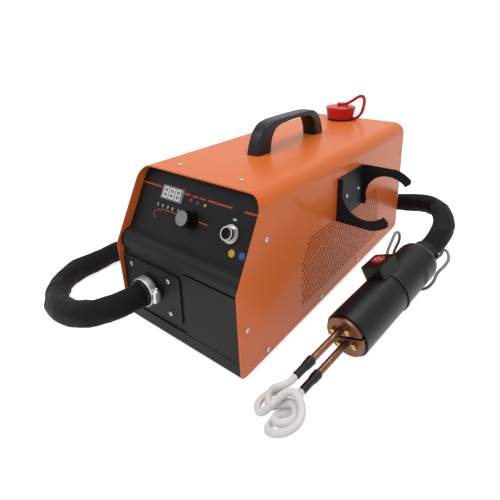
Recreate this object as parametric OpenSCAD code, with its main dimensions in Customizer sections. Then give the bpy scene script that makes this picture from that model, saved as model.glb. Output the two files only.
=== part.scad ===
/* [Case] */

// Width of the case over the cover's sides
body_w = 200; // [180:1:240]
// Length of the case from the front kink to the rear edge
body_len = 470; // [440:1:560]
// Height of the cover above the base tray's underside
body_h = 201; // [190:1:240]
// Thickness of the folded steel sheets
sheet = 1.5; // [1:0.1:2.5]
// How far the top front edge stands behind the kink
top_setback = 49; // [35:1:65]
// Height of the kink in the cover's front edge
kink_h = 108; // [95:1:120]
// How far the bottom front corner stands behind the kink
foot_setback = 3; // [0:0.5:10]
// Outer radius of the two bends along the roof
bend_r = 19; // [8:1:26]
// Height of the rubber feet
foot_h = 12; // [9:0.5:18]

/* [Side vents] */

// Centre spacing of the round vent holes
vent_pitch = 6.3; // [6:0.1:8]
// Diameter of a vent hole
vent_hole_d = 4; // [3:0.1:4.6]
// Number of rows of holes
vent_rows = 17; // [11:2:17]
// Holes in the longest row
vent_cols = 39; // [24:1:40]
// Distance of the first hole behind the kink
vent_y = 127.3; // [115:0.1:140]
// Height of the lowest row of holes
vent_z = 24.5; // [20:0.5:30]

/* [Control panel] */

// How far the panel lies behind the cover's slanted edge
panel_recess = 12; // [8:0.5:16]
// Diameter of the power knob
knob_d = 21; // [18:0.5:26]
// Height of the power knob
knob_h = 14; // [10:0.5:18]
// Width of the display window
display_w = 38; // [30:0.5:44]
// Height of the display window
display_h = 17.5; // [14:0.5:20]
// Outer diameter of the round control socket's ring
socket_d = 21; // [18:0.5:24]

/* [Carrying handle and filler cap] */

// Length of the handle over its feet
handle_len = 179; // [150:1:200]
// Height of the handle above the roof
handle_h = 43; // [40:1:60]
// Width of the handle
handle_w = 25; // [20:0.5:32]
// Diameter of the filler cap at its rim
cap_d = 56; // [50:0.5:60]
// Height of the filler cap's skirt
cap_h = 20; // [17:0.5:24]

/* [Handpiece] */

// Diameter of the handpiece's shell
tool_d = 57; // [50:0.5:62]
// Length of the handpiece's straight shell
tool_len = 172; // [150:1:190]
// Diameter of the copper tubes
tube_d = 8; // [6:0.5:9]
// Diameter of the white sleeve on the coil
sleeve_d = 7.7; // [7:0.1:8]
// Diameter of the red start button
button_d = 19; // [16:0.5:22]
// Travel of the start button
button_travel = 2; // [1:0.5:2.5]

/* [Hose] */

// Diameter of the sleeved hose
hose_d = 35; // [30:0.5:38]

/* [Hidden] */

// Number of sides for round features
$fn = 64;
// Clearance of seated pieces
fit = 0.1;
// Clearance of turning and sliding pieces
run = 0.08;
// Overshoot of cutting shapes
over = 1;

/* The case's frame: origin in the middle of the base tray's underside. Lengths
   along the case are counted from the kink in the cover's front edge. */
half_w = body_w / 2;
inner_x = half_w - sheet;
roof_z = body_h;
slope_rise = body_h - kink_h;
slope_a = atan2(slope_rise, top_setback);
out_y = -sin(slope_a);
out_z = cos(slope_a);
corner_r = 9;

// Front panel's profile
panel_t = [1.4, -0.9];
low_y = 8;
low_z = 16.5;
low_top = 100.5;
nose_y = 5.3;
nose_lip_z = kink_h - 5.5;
nose_r = 13.2;
nose_arc = 80;
nose_steps = 10;
panel_z0 = kink_h - panel_recess * out_z;
panel_y0 = -panel_recess * out_y;
panel_top = (body_h - sheet - panel_z0 - 0.2) / sin(slope_a);
panel_low = 24;
flange_len = 24;

// Display, knob, socket on the panel: across, up the slope
display_at = [-41, 78.5];
knob_at = [0, 56];
socket_at = [63, 56];
display_lip = 2;
display_depth = 9;
digit_gap = 1.2;
knob_lift = 1.2;
knob_top_d = 17.5;
shaft_d = 6;
pot_d = 24;
pot_h = 12;
socket_thread_d = 16;
socket_thread_len = 6;
socket_nut_t = 3;
pin_count = 7;
pin_ring_r = 4.2;
pin_d = 1.6;

// Hose plate and hose inlet on the lower front
plate_x = [-98, 7];
plate_z = [26, 91];
plate_t = 2;
plate_r = 5;
raised_x = [13.6, 97];
raised_z = [18, 99];
hose_at = [-47.5, 57.5];
plate_screw = [70, 45];
stub_len = 18;
band_w = 10;
band_t = 1.6;

// Roof: handle, filler neck and cap
handle_y = body_len / 2 + 9.5;
handle_foot = 31;
handle_bar = 7;
leg_lean_share = 0.44;
cap_x = -12;
cap_y = body_len - 29;
cap_floor = 3.4;
cap_wall = 2.4;
cap_base_d = 47;
neck_r = 15;
neck_bore = 11.5;
neck_h = 20;
neck_flange_r = 24;
neck_flange_t = 1;
tank_space = 31;
strap_ring_t = 2;
strap_w = 5;
strap_t = 2;
band_half = 0.85;
strap_a = 12;
stud_r = 2.6;
stud_h = 3;
stud_head_r = 7.5;
stud_head_h = 1.4;

// Screws
screw_head_r = 3;
screw_head_h = 1.7;
screw_r = 1.5;
screw_len = 9;
side_screws = [[51, 151], [15, 59], [51, 9], [177, 9], [296, 10], [body_len - 48, 10],
    [body_len - 6, body_h - 53], [body_len - 4, 64]];
roof_screws = [[half_w - 49.5, top_setback + 23.5], [half_w - 46, body_len - 6]];

// Holder bracket on the right side
holder_y = [213, 295];
holder_z = [108.5, 170.5];
holder_t = 2;
holder_reach = 72;
hook_r = 33;
hook_band = 12;
hook_x = 40.5;
holder_screws = [[239, 138.5], [277, 138.5]];

// Base tray
tray_side = 20;
tray_gap = 0.1;
drain_d = 30;
bead_w = 3;
bead_deep = 0.5;
bead_x = half_w * 0.22;
bead_y = body_len * 0.13;
foot_d = 26;
foot_in = [40, 45];

// Rear panel
rear_in = 6;
fan_at = [62 - half_w, 62];
fan_size = 92;
fan_t = 25;
fan_open_r = 43;
radiator_side = 10;
radiator_t = 26;
rocker_at = [half_w - 45, 120];
rocker_size = [22, 30];
rocker_tilt = 9;
rocker_in = 2;
pivot_r = 1.5;
pivot_out = 0.9;
gland_at = [half_w - 45, 50];
gland_r = 12;
gland_bore = 5.5;
gland_len = 22;

// Handpiece's place: middle of its front rim, its pitch, turn and roll
tool_r = tool_d / 2;
tool_pitch = 8;
tool_turn = 8.4;
tool_roll = 26;
tool_x = 167.5;
tool_y = 118;
tool_z = -foot_h + tool_r * cos(tool_pitch) + 0.4;
tool_wall = 2.5;
shoulder_r = 20;
collar_r = 17.5;
collar_len = 12;
block_r = tool_r - tool_wall - 0.3;
block_t = 22;
block_out = 5;
block_gap = 3;
tube_n = 8.7;
tube_c = -3;
tube_out = 58;
tube_in = 12;
nut_c = 11.5;
nut_n = 9;
nut_r = 4;
nut_h = 4;

// Switch box on the handpiece
box_t = [80, 118];
box_w = 33;
box_top = tool_r + 14;
box_r = 4;
box_slope = 9;
button_t = 101;
button_out = 2.6;
button_edge = 1;
button_guide = 7;
dish_r = 22.6;
dish_deep = 0.6;
tie_w = 4.5;
tie_t = 1.4;

// Shrink sleeves and the coil
shrink_at = -57;
shrink_thick = 11;
coil_at = -86;

function reversed(a) = [for (i = [len(a) - 1:-1:0]) a[i]];
function shifted(a, d) = [for (p = a) p + d];
function unit(v) = v / norm(v);
function lerp(a, b, s) = a + (b - a) * s;

// Catmull-Rom point between q[i] and q[i + 1]
function at_end(q, i) = q[max(0, min(len(q) - 1, i))];
function spline_point(q, i, s) =
    let (a = at_end(q, i - 1), b = at_end(q, i), c = at_end(q, i + 1), d = at_end(q, i + 2))
    0.5 * (2 * b + (c - a) * s + (2 * a - 5 * b + 4 * c - d) * s * s
        + (3 * b - a - 3 * c + d) * s * s * s);
function spline(q, steps) = concat(
    [for (i = [0:len(q) - 2]) for (j = [0:steps - 1]) spline_point(q, i, j / steps)],
    [q[len(q) - 1]]);

// Path lengths, and points at an even spacing along a path
function lengths(p, i = 1, acc = [0]) =
    i >= len(p) ? acc : lengths(p, i + 1, concat(acc, [acc[i - 1] + norm(p[i] - p[i - 1])]));
function find_seg(l, d, i = 1) = i >= len(l) - 1 || l[i] >= d ? i : find_seg(l, d, i + 1);
function even(p, n) =
    let (l = lengths(p), total = l[len(l) - 1])
    [for (k = [0:n]) let (d = total * k / n, i = find_seg(l, d))
        lerp(p[i - 1], p[i], (d - l[i - 1]) / (l[i] - l[i - 1]))];

// One round tube along a path: rings square to it, each with the given up direction
function along(p, i, t0, t1) =
    i == 0 && t0 != 0 ? t0 : i == len(p) - 1 && t1 != 0 ? t1
        : unit(at_end(p, i + 1) - at_end(p, i - 1));
module tube(p, r, sides, t0 = 0, t1 = 0) {
    rings = [for (i = [0:len(p) - 1])
        let (t = along(p, i, t0, t1), a = unit(cross(t, [0, 0, 1])), b = cross(a, t))
        [for (k = [0:sides - 1]) p[i] + r * (a * cos(360 * k / sides) + b * sin(360 * k / sides))]];
    m = len(p) - 1;
    points = concat([for (ring = rings) each ring], [p[0], p[m]]);
    faces = concat(
        [for (i = [0:m - 1]) for (k = [0:sides - 1])
            let (a = i * sides + k, b = i * sides + (k + 1) % sides) [a, b, b + sides]],
        [for (i = [0:m - 1]) for (k = [0:sides - 1])
            let (a = i * sides + k, b = i * sides + (k + 1) % sides) [a, b + sides, a + sides]],
        [for (k = [0:sides - 1]) [(k + 1) % sides, k, (m + 1) * sides]],
        [for (k = [0:sides - 1]) [m * sides + k, m * sides + (k + 1) % sides, (m + 1) * sides + 1]]);
    polyhedron(points, faces);
}

// Frames
module from_front() {
    translate([0, -body_len / 2, 0]) children();
}
module on_panel(at) {
    from_front()
        translate([at[0], panel_y0 + at[1] * cos(slope_a), panel_z0 + at[1] * sin(slope_a)])
            rotate([slope_a, 0, 0]) children();
}
module in_tool() {
    from_front() translate([tool_x, tool_y, tool_z])
        rotate([tool_pitch, 0, -tool_turn]) rotate([0, -tool_roll, 0]) children();
}
// Along the handpiece: the child's z runs to the rear
module tool_axis(t) {
    translate([0, t, 0]) rotate([-90, 0, 0]) children();
}
// Out of the right side, out of the rear, out of the front
module out_right() {
    rotate([0, 90, 0]) children();
}
module out_rear() {
    rotate([-90, 0, 0]) children();
}
module out_front() {
    rotate([90, 0, 0]) children();
}

module rounded(w, h, r) {
    union() {
        translate([r, 0]) square([w - 2 * r, h]);
        translate([0, r]) square([w, h - 2 * r]);
        for (x = [r, w - r]) for (y = [r, h - r]) translate([x, y]) circle(r);
    }
}
module screw_head() {
    difference() {
        union() {
            cylinder(r = screw_head_r, h = screw_head_h * 0.5);
            translate([0, 0, screw_head_h * 0.5])
                cylinder(r1 = screw_head_r, r2 = screw_head_r * 0.7, h = screw_head_h * 0.5);
        }
        for (a = [0, 90]) rotate(a)
            translate([-screw_head_r * 0.55, -0.35, screw_head_h * 0.4])
                cube([screw_head_r * 1.1, 0.7, screw_head_h]);
    }
}
module screw(length = screw_len) {
    screw_head();
    translate([0, 0, -length]) cylinder(r = screw_r, h = length);
}

// Side outline of the cover, counted from the kink
module side_outline() {
    front = foot_setback + corner_r;
    polygon([[front, 0], [body_len - corner_r, 0], [body_len - corner_r, corner_r],
        [body_len, corner_r], [body_len, roof_z], [top_setback, roof_z], [0, kink_h],
        [foot_setback * (1 - corner_r / kink_h), corner_r], [front, corner_r]]);
    translate([front, corner_r]) circle(corner_r);
    translate([body_len - corner_r, corner_r]) circle(corner_r);
}

// Width and height outline of the cover's folded section
module section_outline(inset) {
    r = bend_r - inset;
    w = half_w - inset;
    h = roof_z - inset;
    translate([-w, -over]) square([2 * w, h - r + over]);
    translate([r - w, -over]) square([2 * (w - r), h + over]);
    for (s = [-1, 1]) translate([s * (w - r), h - r]) circle(r);
}

// Vent area: outline with cut corners, counted from the kink
vent_row_h = vent_pitch * sqrt(3) / 2;
vent_len = (vent_cols - 1) * vent_pitch;
vent_h = (vent_rows - 1) * vent_row_h;
vent_cut = 5;
vent_edge = 5;
module vent_frame(grow) {
    cut = vent_cut * vent_pitch / 2;
    rise = vent_cut * vent_row_h;
    translate([vent_y, vent_z])
        polygon([[-grow, -grow], [vent_len + grow, -grow],
            [vent_len + grow, vent_h - rise + grow * 0.58], [vent_len - cut + grow * 0.58, vent_h + grow],
            [cut - grow * 0.58, vent_h + grow], [-grow, vent_h - rise + grow * 0.58]]);
}
module side_slab(x0, t) {
    translate([x0, 0, 0]) rotate([90, 0, 90]) linear_extrude(t) children();
}

module cover() {
    color("#dd6f33") difference() {
        from_front() intersection() {
            translate([0, body_len, 0]) rotate([90, 0, 0]) linear_extrude(body_len) difference() {
                section_outline(0);
                section_outline(sheet);
            }
            side_slab(-half_w, body_w) side_outline();
        }
        from_front() for (x = [-half_w - over, half_w - sheet - over])
            side_slab(x, sheet + 2 * over) vent_frame(vent_edge);
        from_front() translate([cap_x, cap_y, roof_z - sheet - over])
            cylinder(r = neck_r + fit, h = sheet + 2 * over);
    }
}

module vent(side) {
    x0 = side > 0 ? half_w - sheet : -half_w;
    color("#c96436") from_front() side_slab(x0, sheet) difference() {
        vent_frame(vent_edge);
        for (row = [0:vent_rows - 1])
            let (over_cut = max(0, row - (vent_rows - 1 - vent_cut)), odd = (row + vent_cut) % 2)
            let (skip = max(odd, over_cut))
            for (i = [0:vent_cols - 1 - skip])
                translate([vent_y + skip * vent_pitch / 2 + i * vent_pitch,
                    vent_z + row * vent_row_h]) circle(d = vent_hole_d, $fn = 16);
    }
}

module base_tray() {
    x = inner_x - tray_gap;
    color("#d9652f") difference() {
        from_front() union() {
            translate([-x, low_y - sheet, 0]) cube([2 * x, body_len - rear_in - low_y + sheet, sheet]);
            translate([-x, low_y - sheet, 0]) cube([2 * x, sheet, low_z - 0.4]);
            for (s = [-1, 1])
                translate([s > 0 ? x - sheet : -x, low_y - sheet + corner_r, 0])
                    cube([sheet, body_len - rear_in - low_y + sheet - corner_r, tray_side]);
        }
        for (i = [-1:1]) for (x0 = [-1, 1])
            translate([x0 * half_w * 0.45, i * body_len * 0.25, -over])
                cylinder(d = drain_d, h = sheet + 2 * over);
        translate([0, 0, -over]) linear_extrude(bead_deep + over) difference() {
            square([2 * bead_x + bead_w, 2 * bead_y + bead_w], center = true);
            square([2 * bead_x - bead_w, 2 * bead_y - bead_w], center = true);
        }
    }
}

module feet() {
    color("#202022") for (x = [-1, 1]) for (y = [0, 1])
        from_front() translate([x * (half_w - foot_in[0]), y ? body_len - foot_in[1] : foot_in[1] + low_y, 0])
            mirror([0, 0, 1]) difference() {
                cylinder(d1 = foot_d, d2 = foot_d * 0.8, h = foot_h);
                translate([0, 0, foot_h - 3]) cylinder(d = foot_d * 0.4, h = 3 + over);
            }
}

// Front panel: one folded sheet, with a raised field beside the hose plate
nose_at = [nose_y + nose_r, kink_h + 1];
function panel_line() = concat(
    [[low_y, low_z], [low_y, low_top], [nose_y, nose_lip_z]],
    [for (i = [0:nose_steps]) let (a = 180 - nose_arc * i / nose_steps)
        nose_at + nose_r * [cos(a), sin(a)]],
    [[panel_y0 + panel_low * cos(slope_a), panel_z0 + panel_low * sin(slope_a)],
        [panel_y0 + panel_top * cos(slope_a), panel_z0 + panel_top * sin(slope_a)]]);
module front_panel() {
    line = panel_line();
    x = inner_x - fit;
    top = line[len(line) - 1];
    color("#29292b") difference() {
        from_front() intersection() {
            union() {
                side_slab(-x, 2 * x) polygon(concat(line, reversed(shifted(line, panel_t))));
                translate([-x, top[0], top[1] - sheet]) cube([2 * x, flange_len, sheet]);
                translate([raised_x[0], low_y - plate_t, raised_z[0]])
                    cube([raised_x[1] - raised_x[0], plate_t + 0.5, raised_z[1] - raised_z[0]]);
            }
            translate([0, body_len, 0]) rotate([90, 0, 0]) linear_extrude(body_len)
                section_outline(sheet + fit);
        }
        on_panel(display_at) translate([-display_w / 2, -display_h / 2, -5]) cube([display_w, display_h, 10]);
        on_panel(knob_at) translate([0, 0, -5]) cylinder(d = shaft_d + 2, h = 10);
        on_panel(socket_at) translate([0, 0, -5]) cylinder(d = socket_thread_d + 2 * fit, h = 10);
        from_front() translate([hose_at[0], low_y - over, hose_at[1]]) out_rear()
            cylinder(r = collar_r - 1, h = 4);
    }
}

module hose_plate() {
    w = plate_x[1] - plate_x[0];
    h = plate_z[1] - plate_z[0];
    color("#242426") from_front() translate([0, low_y, 0]) out_front() difference() {
        translate([plate_x[0], plate_z[0], 0]) linear_extrude(plate_t) rounded(w, h, plate_r);
        translate([hose_at[0], hose_at[1], -over]) cylinder(r = collar_r - 1, h = plate_t + 2 * over);
    }
}

module display_module() {
    lw = display_w + 2 * display_lip;
    lh = display_h + 2 * display_lip;
    color("#d8dadd") on_panel(display_at) union() {
        translate([-display_w / 2 + fit, -display_h / 2 + fit, -display_depth])
            cube([display_w - 2 * fit, display_h - 2 * fit, display_depth - 0.3]);
        translate([-lw / 2, -lh / 2, -display_depth - 2]) cube([lw, lh, 4]);
    }
}
module display_digits() {
    d = [9.5, 13.5];
    bar = 1.6;
    color("#c8322c") on_panel(display_at) for (i = [-1:1])
        translate([i * (d[0] + digit_gap) - d[0] / 2, -d[1] / 2, -0.3]) difference() {
            cube([d[0] - 1, d[1], 0.4]);
            for (j = [0, 1])
                translate([bar, bar + j * (d[1] - bar) / 2, -over])
                    cube([d[0] - 1 - 2 * bar, (d[1] - 3 * bar) / 2, 3]);
        }
}

module knob() {
    color("#1d1d1f") on_panel(knob_at) translate([0, 0, knob_lift]) difference() {
        union() {
            cylinder(d = knob_d + 3, h = 2.2);
            cylinder(d = knob_d, h = knob_h);
        }
        for (i = [0:11]) rotate(i * 30) translate([knob_d / 2 + 0.7, 0, 3.4])
            cylinder(r = 1.5, h = knob_h);
        translate([0, 0, knob_h - 1]) cylinder(d = knob_top_d, h = 2);
        translate([0, 0, -over]) cylinder(d = shaft_d, h = knob_h * 0.7 + over);
    }
}
module knob_cap() {
    color("#9a9a9c") on_panel(knob_at) translate([0, 0, knob_lift + knob_h - 1]) difference() {
        cylinder(d = knob_top_d, h = 1.4);
        translate([-0.6, knob_top_d * 0.2, 1]) cube([1.2, knob_top_d * 0.26, 1]);
    }
}
module knob_shaft() {
    color("#b9bbbd") on_panel(knob_at) translate([0, 0, -4])
        cylinder(d = shaft_d, h = knob_lift + knob_h * 0.7 + 4);
}
module dial_pot() {
    color("#3f5a48") on_panel(knob_at) difference() {
        union() {
            translate([0, 0, -2.6 - pot_h]) cylinder(d = pot_d, h = pot_h);
            translate([0, 0, -3]) cylinder(d = shaft_d + 6, h = 1.2);
        }
        translate([0, 0, -5]) cylinder(d = shaft_d + 2 * run, h = 6);
    }
}

module control_socket() {
    r = socket_thread_d / 2;
    color("#b7b9bc") on_panel(socket_at) difference() {
        union() {
            translate([0, 0, -12]) cylinder(r = r - 1, h = 12);
            cylinder(d = socket_d, h = 1.4);
            cylinder(r = r, h = socket_nut_t + socket_thread_len);
            translate([0, 0, 1.4]) cylinder(d = socket_d - 2, h = socket_nut_t - 1.4, $fn = 6);
        }
        cylinder(r = r - 1.6, h = 20);
    }
}
module socket_insert() {
    r = socket_thread_d / 2;
    color("#1b1b1d") on_panel(socket_at) difference() {
        cylinder(r = r - 1.6, h = 3.5);
        for (i = [0:pin_count - 2]) rotate(i * 60) translate([pin_ring_r, 0, 1.5])
            cylinder(d = pin_d, h = 3, $fn = 16);
        translate([0, 0, 1.5]) cylinder(d = pin_d, h = 3, $fn = 16);
    }
}

module handle() {
    lean = handle_h * leg_lean_share;
    r = handle_h * 0.42;
    outer = [[0, 0], [lean * 0.62, handle_h * 0.62], [lean + r * 0.4, handle_h * 0.9],
        [lean + r, handle_h], [handle_len - lean - r, handle_h],
        [handle_len - lean - r * 0.4, handle_h * 0.9], [handle_len - lean * 0.62, handle_h * 0.62],
        [handle_len, 0]];
    inner = [[handle_foot, -over], [handle_foot + 3, handle_h * 0.45], [handle_foot + 10, handle_h * 0.72],
        [handle_foot + 20, handle_h - handle_bar], [handle_len - handle_foot - 20, handle_h - handle_bar],
        [handle_len - handle_foot - 10, handle_h * 0.72], [handle_len - handle_foot - 3, handle_h * 0.45],
        [handle_len - handle_foot, -over]];
    smooth_out = spline(outer, 4);
    smooth_in = spline(inner, 4);
    color("#232325") from_front() translate([0, handle_y - handle_len / 2, roof_z]) intersection() {
        side_slab(-handle_w / 2, handle_w) difference() {
            polygon(smooth_out);
            polygon(smooth_in);
        }
        translate([0, handle_len + over, 0]) rotate([90, 0, 0]) linear_extrude(handle_len + 2 * over)
            polygon([[-handle_w / 2, 0], [handle_w / 2, 0], [handle_w / 2, handle_h - 5],
                [handle_w / 2 - 4, handle_h], [4 - handle_w / 2, handle_h], [-handle_w / 2, handle_h - 5]]);
    }
}
module roof_screws() {
    color("#c9cacc") from_front() for (s = [-1, 1]) for (q = roof_screws)
        translate([s * q[0], q[1], roof_z]) screw_head();
}
module side_screws() {
    color("#c9cacc") from_front() for (s = [-1, 1]) for (q = side_screws)
        translate([s * half_w, q[0], q[1]]) rotate([0, s * 90, 0]) screw_head();
}
module plate_screws() {
    color("#c9cacc") from_front() for (i = [-1, 1]) for (j = [-1, 1])
        translate([hose_at[0] + i * plate_screw[0] / 2, low_y - plate_t,
            hose_at[1] + j * plate_screw[1] / 2]) out_front() screw_head();
}

module filler_neck() {
    color("#2a2a2c") from_front() translate([cap_x, cap_y, roof_z]) difference() {
        union() {
            translate([0, 0, -12]) cylinder(r = neck_r, h = 12 + neck_h);
            cylinder(r = neck_flange_r, h = neck_flange_t);
        }
        translate([0, 0, -12 - over]) cylinder(r = neck_bore, h = 12 + neck_h + 2 * over);
    }
}
module coolant_tank() {
    size = [body_w * 0.6, 60, roof_z - 12 - fan_at[1] - fan_size / 2 - tank_space];
    color("#dfe3e4") from_front() translate([cap_x, cap_y - 8, roof_z - 12 - size[2]]) difference() {
        translate([-size[0] / 2, -size[1] / 2, 0]) linear_extrude(size[2]) rounded(size[0], size[1], 8);
        translate([2 - size[0] / 2, 2 - size[1] / 2, 2])
            linear_extrude(size[2] - 4) rounded(size[0] - 4, size[1] - 4, 6);
        translate([0, 8, size[2] - 3]) cylinder(r = neck_bore, h = 5);
    }
}
cap_z0 = neck_flange_t + strap_ring_t + 0.4;
module filler_cap() {
    base_r = cap_base_d / 2;
    rim_r = cap_d / 2;
    color("#c22a2c") from_front() translate([cap_x, cap_y, roof_z + cap_z0]) difference() {
        union() {
            cylinder(r1 = base_r, r2 = rim_r, h = cap_h);
            translate([0, 0, cap_h]) cylinder(r1 = rim_r, r2 = rim_r - 2.5, h = 1.6);
            translate([0, 0, cap_h + 1.6]) cylinder(r1 = rim_r - 2.5, r2 = stud_head_r + 3, h = 1.8);
            cylinder(r = stud_r, h = cap_h + 3.4 + stud_h);
            translate([0, 0, cap_h + 3.4 + stud_h]) cylinder(r = stud_head_r, h = stud_head_h);
        }
        translate([0, 0, -over]) cylinder(r1 = base_r - cap_wall - 1, r2 = rim_r - cap_wall - 1,
            h = over + cap_h - cap_floor);
        for (i = [0:23]) rotate(i * 15) translate([base_r + 1.1, 0, 1.5])
            rotate([0, atan2(rim_r - base_r, cap_h), 0]) cylinder(r = 1.2, h = cap_h - 3, $fn = 16);
    }
}
module strap_band() {
    q = [[stud_r + 2, cap_h + 4.9], [12, cap_h + 7], [22, cap_h + 13], [32, cap_h + 20],
        [38, cap_h + 21.5], [42, cap_h + 18], [43, cap_h + 8], [39, 11], [32, 2.4], [26, -1], [21, -1.25],
        [17, -1.25]];
    p = even(spline(q, 6), 26);
    normal = [for (i = [0:len(p) - 1])
        let (d = unit(at_end(p, i + 1) - at_end(p, i - 1))) [-d[1], d[0]] * band_half];
    upper = [for (i = [0:len(p) - 1]) p[i] + normal[i]];
    lower = [for (i = [0:len(p) - 1]) p[i] - normal[i]];
    translate([0, strap_w / 2, 0]) rotate([90, 0, 0])
        linear_extrude(strap_w) polygon(concat(upper, reversed(lower)));
}
module cap_strap() {
    stud_z = cap_h + 3.4;
    color("#cf3b3d") from_front() translate([cap_x, cap_y, roof_z + cap_z0]) difference() {
        union() {
            rotate(strap_a) strap_band();
            translate([0, 0, stud_z + 0.4]) cylinder(r = stud_r + 4.5, h = strap_t);
            translate([0, 0, -strap_ring_t - 0.2]) cylinder(r = neck_r + 4, h = strap_ring_t);
        }
        translate([0, 0, stud_z - 1]) cylinder(r = stud_r + run, h = 6);
        translate([0, 0, -strap_ring_t - over]) cylinder(r = neck_r + run, h = strap_ring_t + 2 * over);
    }
}

// Rear panel and what it carries
rear_y = body_len - rear_in;
module on_rear(at) {
    from_front() translate([at[0], rear_y + sheet, at[1]]) out_rear() children();
}
module rear_panel() {
    color("#2b2b2d") difference() {
        from_front() union() {
            translate([0, rear_y + sheet, 0]) rotate([90, 0, 0]) linear_extrude(sheet) intersection() {
                section_outline(sheet + fit);
                translate([-half_w, 0]) square([body_w, roof_z]);
            }
            for (s = [-1, 1]) translate([s > 0 ? inner_x - fit - sheet : fit - inner_x,
                rear_y - 12, tray_side + 1])
                cube([sheet, 12 + sheet, roof_z - bend_r - tray_side - 1]);
        }
        on_rear(fan_at) translate([0, 0, -sheet - over]) cylinder(r = fan_open_r, h = sheet + 2 * over);
        on_rear(rocker_at) translate([-rocker_size[0] / 2, -rocker_size[1] / 2, -sheet - over])
            cube([rocker_size[0], rocker_size[1], sheet + 2 * over]);
        on_rear(gland_at) translate([0, 0, -sheet - over]) cylinder(r = 8 + fit, h = sheet + 2 * over);
    }
}
module fan_frame() {
    corner = fan_size / 2 - 5;
    strut = 2 * fan_open_r + 1;
    color("#1c1c1e") on_rear(fan_at) translate([0, 0, -sheet - fan_t]) union() {
        linear_extrude(fan_t) difference() {
            translate([-fan_size / 2, -fan_size / 2]) rounded(fan_size, fan_size, 5);
            circle(fan_open_r);
            for (x = [-corner, corner]) for (y = [-corner, corner]) translate([x, y]) circle(2.2);
        }
        linear_extrude(2.4) union() {
            circle(17);
            for (a = [0, 90]) rotate(a) translate([-strut / 2, -2]) square([strut, 4]);
        }
        cylinder(r = 3, h = 6);
    }
}
module fan_rotor() {
    color("#2a2a2d") on_rear(fan_at) translate([0, 0, -sheet - fan_t]) difference() {
        union() {
            translate([0, 0, 3.5]) cylinder(r = 18, h = fan_t - 6);
            intersection() {
                translate([0, 0, 3.5]) cylinder(r = fan_open_r - 1.5, h = fan_t - 6);
                for (i = [0:6]) rotate(i * 360 / 7) translate([14, 0, fan_t / 2 + 0.5])
                    rotate([38, 0, 0]) translate([0, -13, -0.8]) cube([fan_open_r, 26, 1.6]);
            }
        }
        translate([0, 0, 3]) cylinder(r = 3 + run, h = 6);
    }
}
module fan_guard() {
    bar = 1.8;
    color("#c4c6c9") on_rear(fan_at) linear_extrude(1.6) union() {
        for (r = [8:8.6:fan_open_r + 2]) difference() {
            circle(r + bar);
            circle(r);
        }
        for (a = [45, 135]) difference() {
            rotate(a) translate([-fan_size * 0.64, -bar]) square([fan_size * 1.28, 2 * bar]);
            circle(8.5);
        }
    }
}
module radiator() {
    w = fan_size + 2 * radiator_side;
    h = fan_at[1] + fan_size / 2 - sheet - fit;
    d = radiator_t;
    tank = 2;
    color("#8c9093") from_front()
        translate([fan_at[0] - w / 2, rear_y - fan_t - d, sheet]) difference() {
            union() {
                cube([w, d, h]);
                for (x = [-tank, w - 2 * tank]) translate([x, -tank, 0]) cube([3 * tank, d + tank, h]);
            }
            for (i = [0:15]) translate([7, -3, 5 + i * (h - 8) / 16]) cube([w - 14, 12, 3]);
        }
}
module mains_switch() {
    w = rocker_size[0];
    h = rocker_size[1];
    color("#1a1a1c") on_rear(rocker_at) difference() {
        union() {
            translate([-w / 2 - 1.5, -h / 2 - 1.5, 0]) cube([w + 3, h + 3, 2]);
            translate([fit - w / 2, fit - h / 2, -22]) cube([w - 2 * fit, h - 2 * fit, 22.5]);
        }
        translate([1.5 - w / 2, 1.5 - h / 2, -12]) cube([w - 3, h - 3, 16]);
        translate([0, 0, -rocker_in]) rotate([0, 90, 0])
            cylinder(r = pivot_r + run, h = w - 3 + 2 * (pivot_out + fit), center = true);
    }
}
module rocker() {
    w = rocker_size[0] - 3.6;
    h = rocker_size[1] - 4.6;
    color("#b3262a") on_rear(rocker_at) translate([0, 0, -rocker_in]) rotate([rocker_tilt, 0, 0]) union() {
        difference() {
            translate([-w / 2, -h / 2, -3]) cube([w, h, 7.6]);
            for (s = [-1, 1]) translate([0, s * h / 2, 4.6]) rotate([-s * rocker_tilt, 0, 0])
                translate([-w, -h / 2, 0]) cube([2 * w, h, 4]);
        }
        rotate([0, 90, 0]) cylinder(r = pivot_r, h = w + 2 * pivot_out, center = true);
    }
}
module cable_gland() {
    color("#19191b") on_rear(gland_at) difference() {
        union() {
            translate([0, 0, -sheet - 8]) cylinder(r = 8, h = sheet + 10);
            cylinder(r = gland_r, h = 7, $fn = 6);
            translate([0, 0, 7]) cylinder(r = gland_r - 1.6, h = gland_len - 12);
            translate([0, 0, gland_len - 5]) cylinder(r1 = gland_r - 1.6, r2 = gland_bore + 2, h = 5);
            translate([0, 0, -sheet - 4]) cylinder(r = gland_r, h = 4, $fn = 6);
        }
        translate([0, 0, -sheet - 9]) cylinder(r = gland_bore, h = gland_len + 12);
    }
}

// What is seen through the vents
inner_len = body_len - 300;
board_z = 12;
board_t = 2;
board_at = [20 - half_w, 90];
board_size = [body_w - 50, inner_len + 60];
board_edge = 8;
stand_r = 4;
inner_z = sheet + board_z + board_t;
module power_board() {
    color("#2f5c3c") from_front() translate([board_at[0], board_at[1], sheet]) union() {
        translate([0, 0, board_z]) cube([board_size[0], board_size[1], board_t]);
        for (x = [board_edge, board_size[0] - board_edge]) for (y = [board_edge, board_size[1] - board_edge])
            translate([x, y, 0]) cylinder(r = stand_r, h = board_z);
    }
}
sink_at = [25 - half_w, 110];
sink_size = [60, inner_len, 60];
fin_count = 7;
fin_pitch = 8;
fin_space = 4.5;
fin_floor = 8;
module heatsink() {
    color("#9b9ea1") from_front() translate([sink_at[0], sink_at[1], inner_z]) difference() {
        cube(sink_size);
        for (i = [0:fin_count - 1]) translate([stand_r + i * fin_pitch, -over, fin_floor])
            cube([fin_space, sink_size[1] + 2 * over, sink_size[2]]);
    }
}
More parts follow.
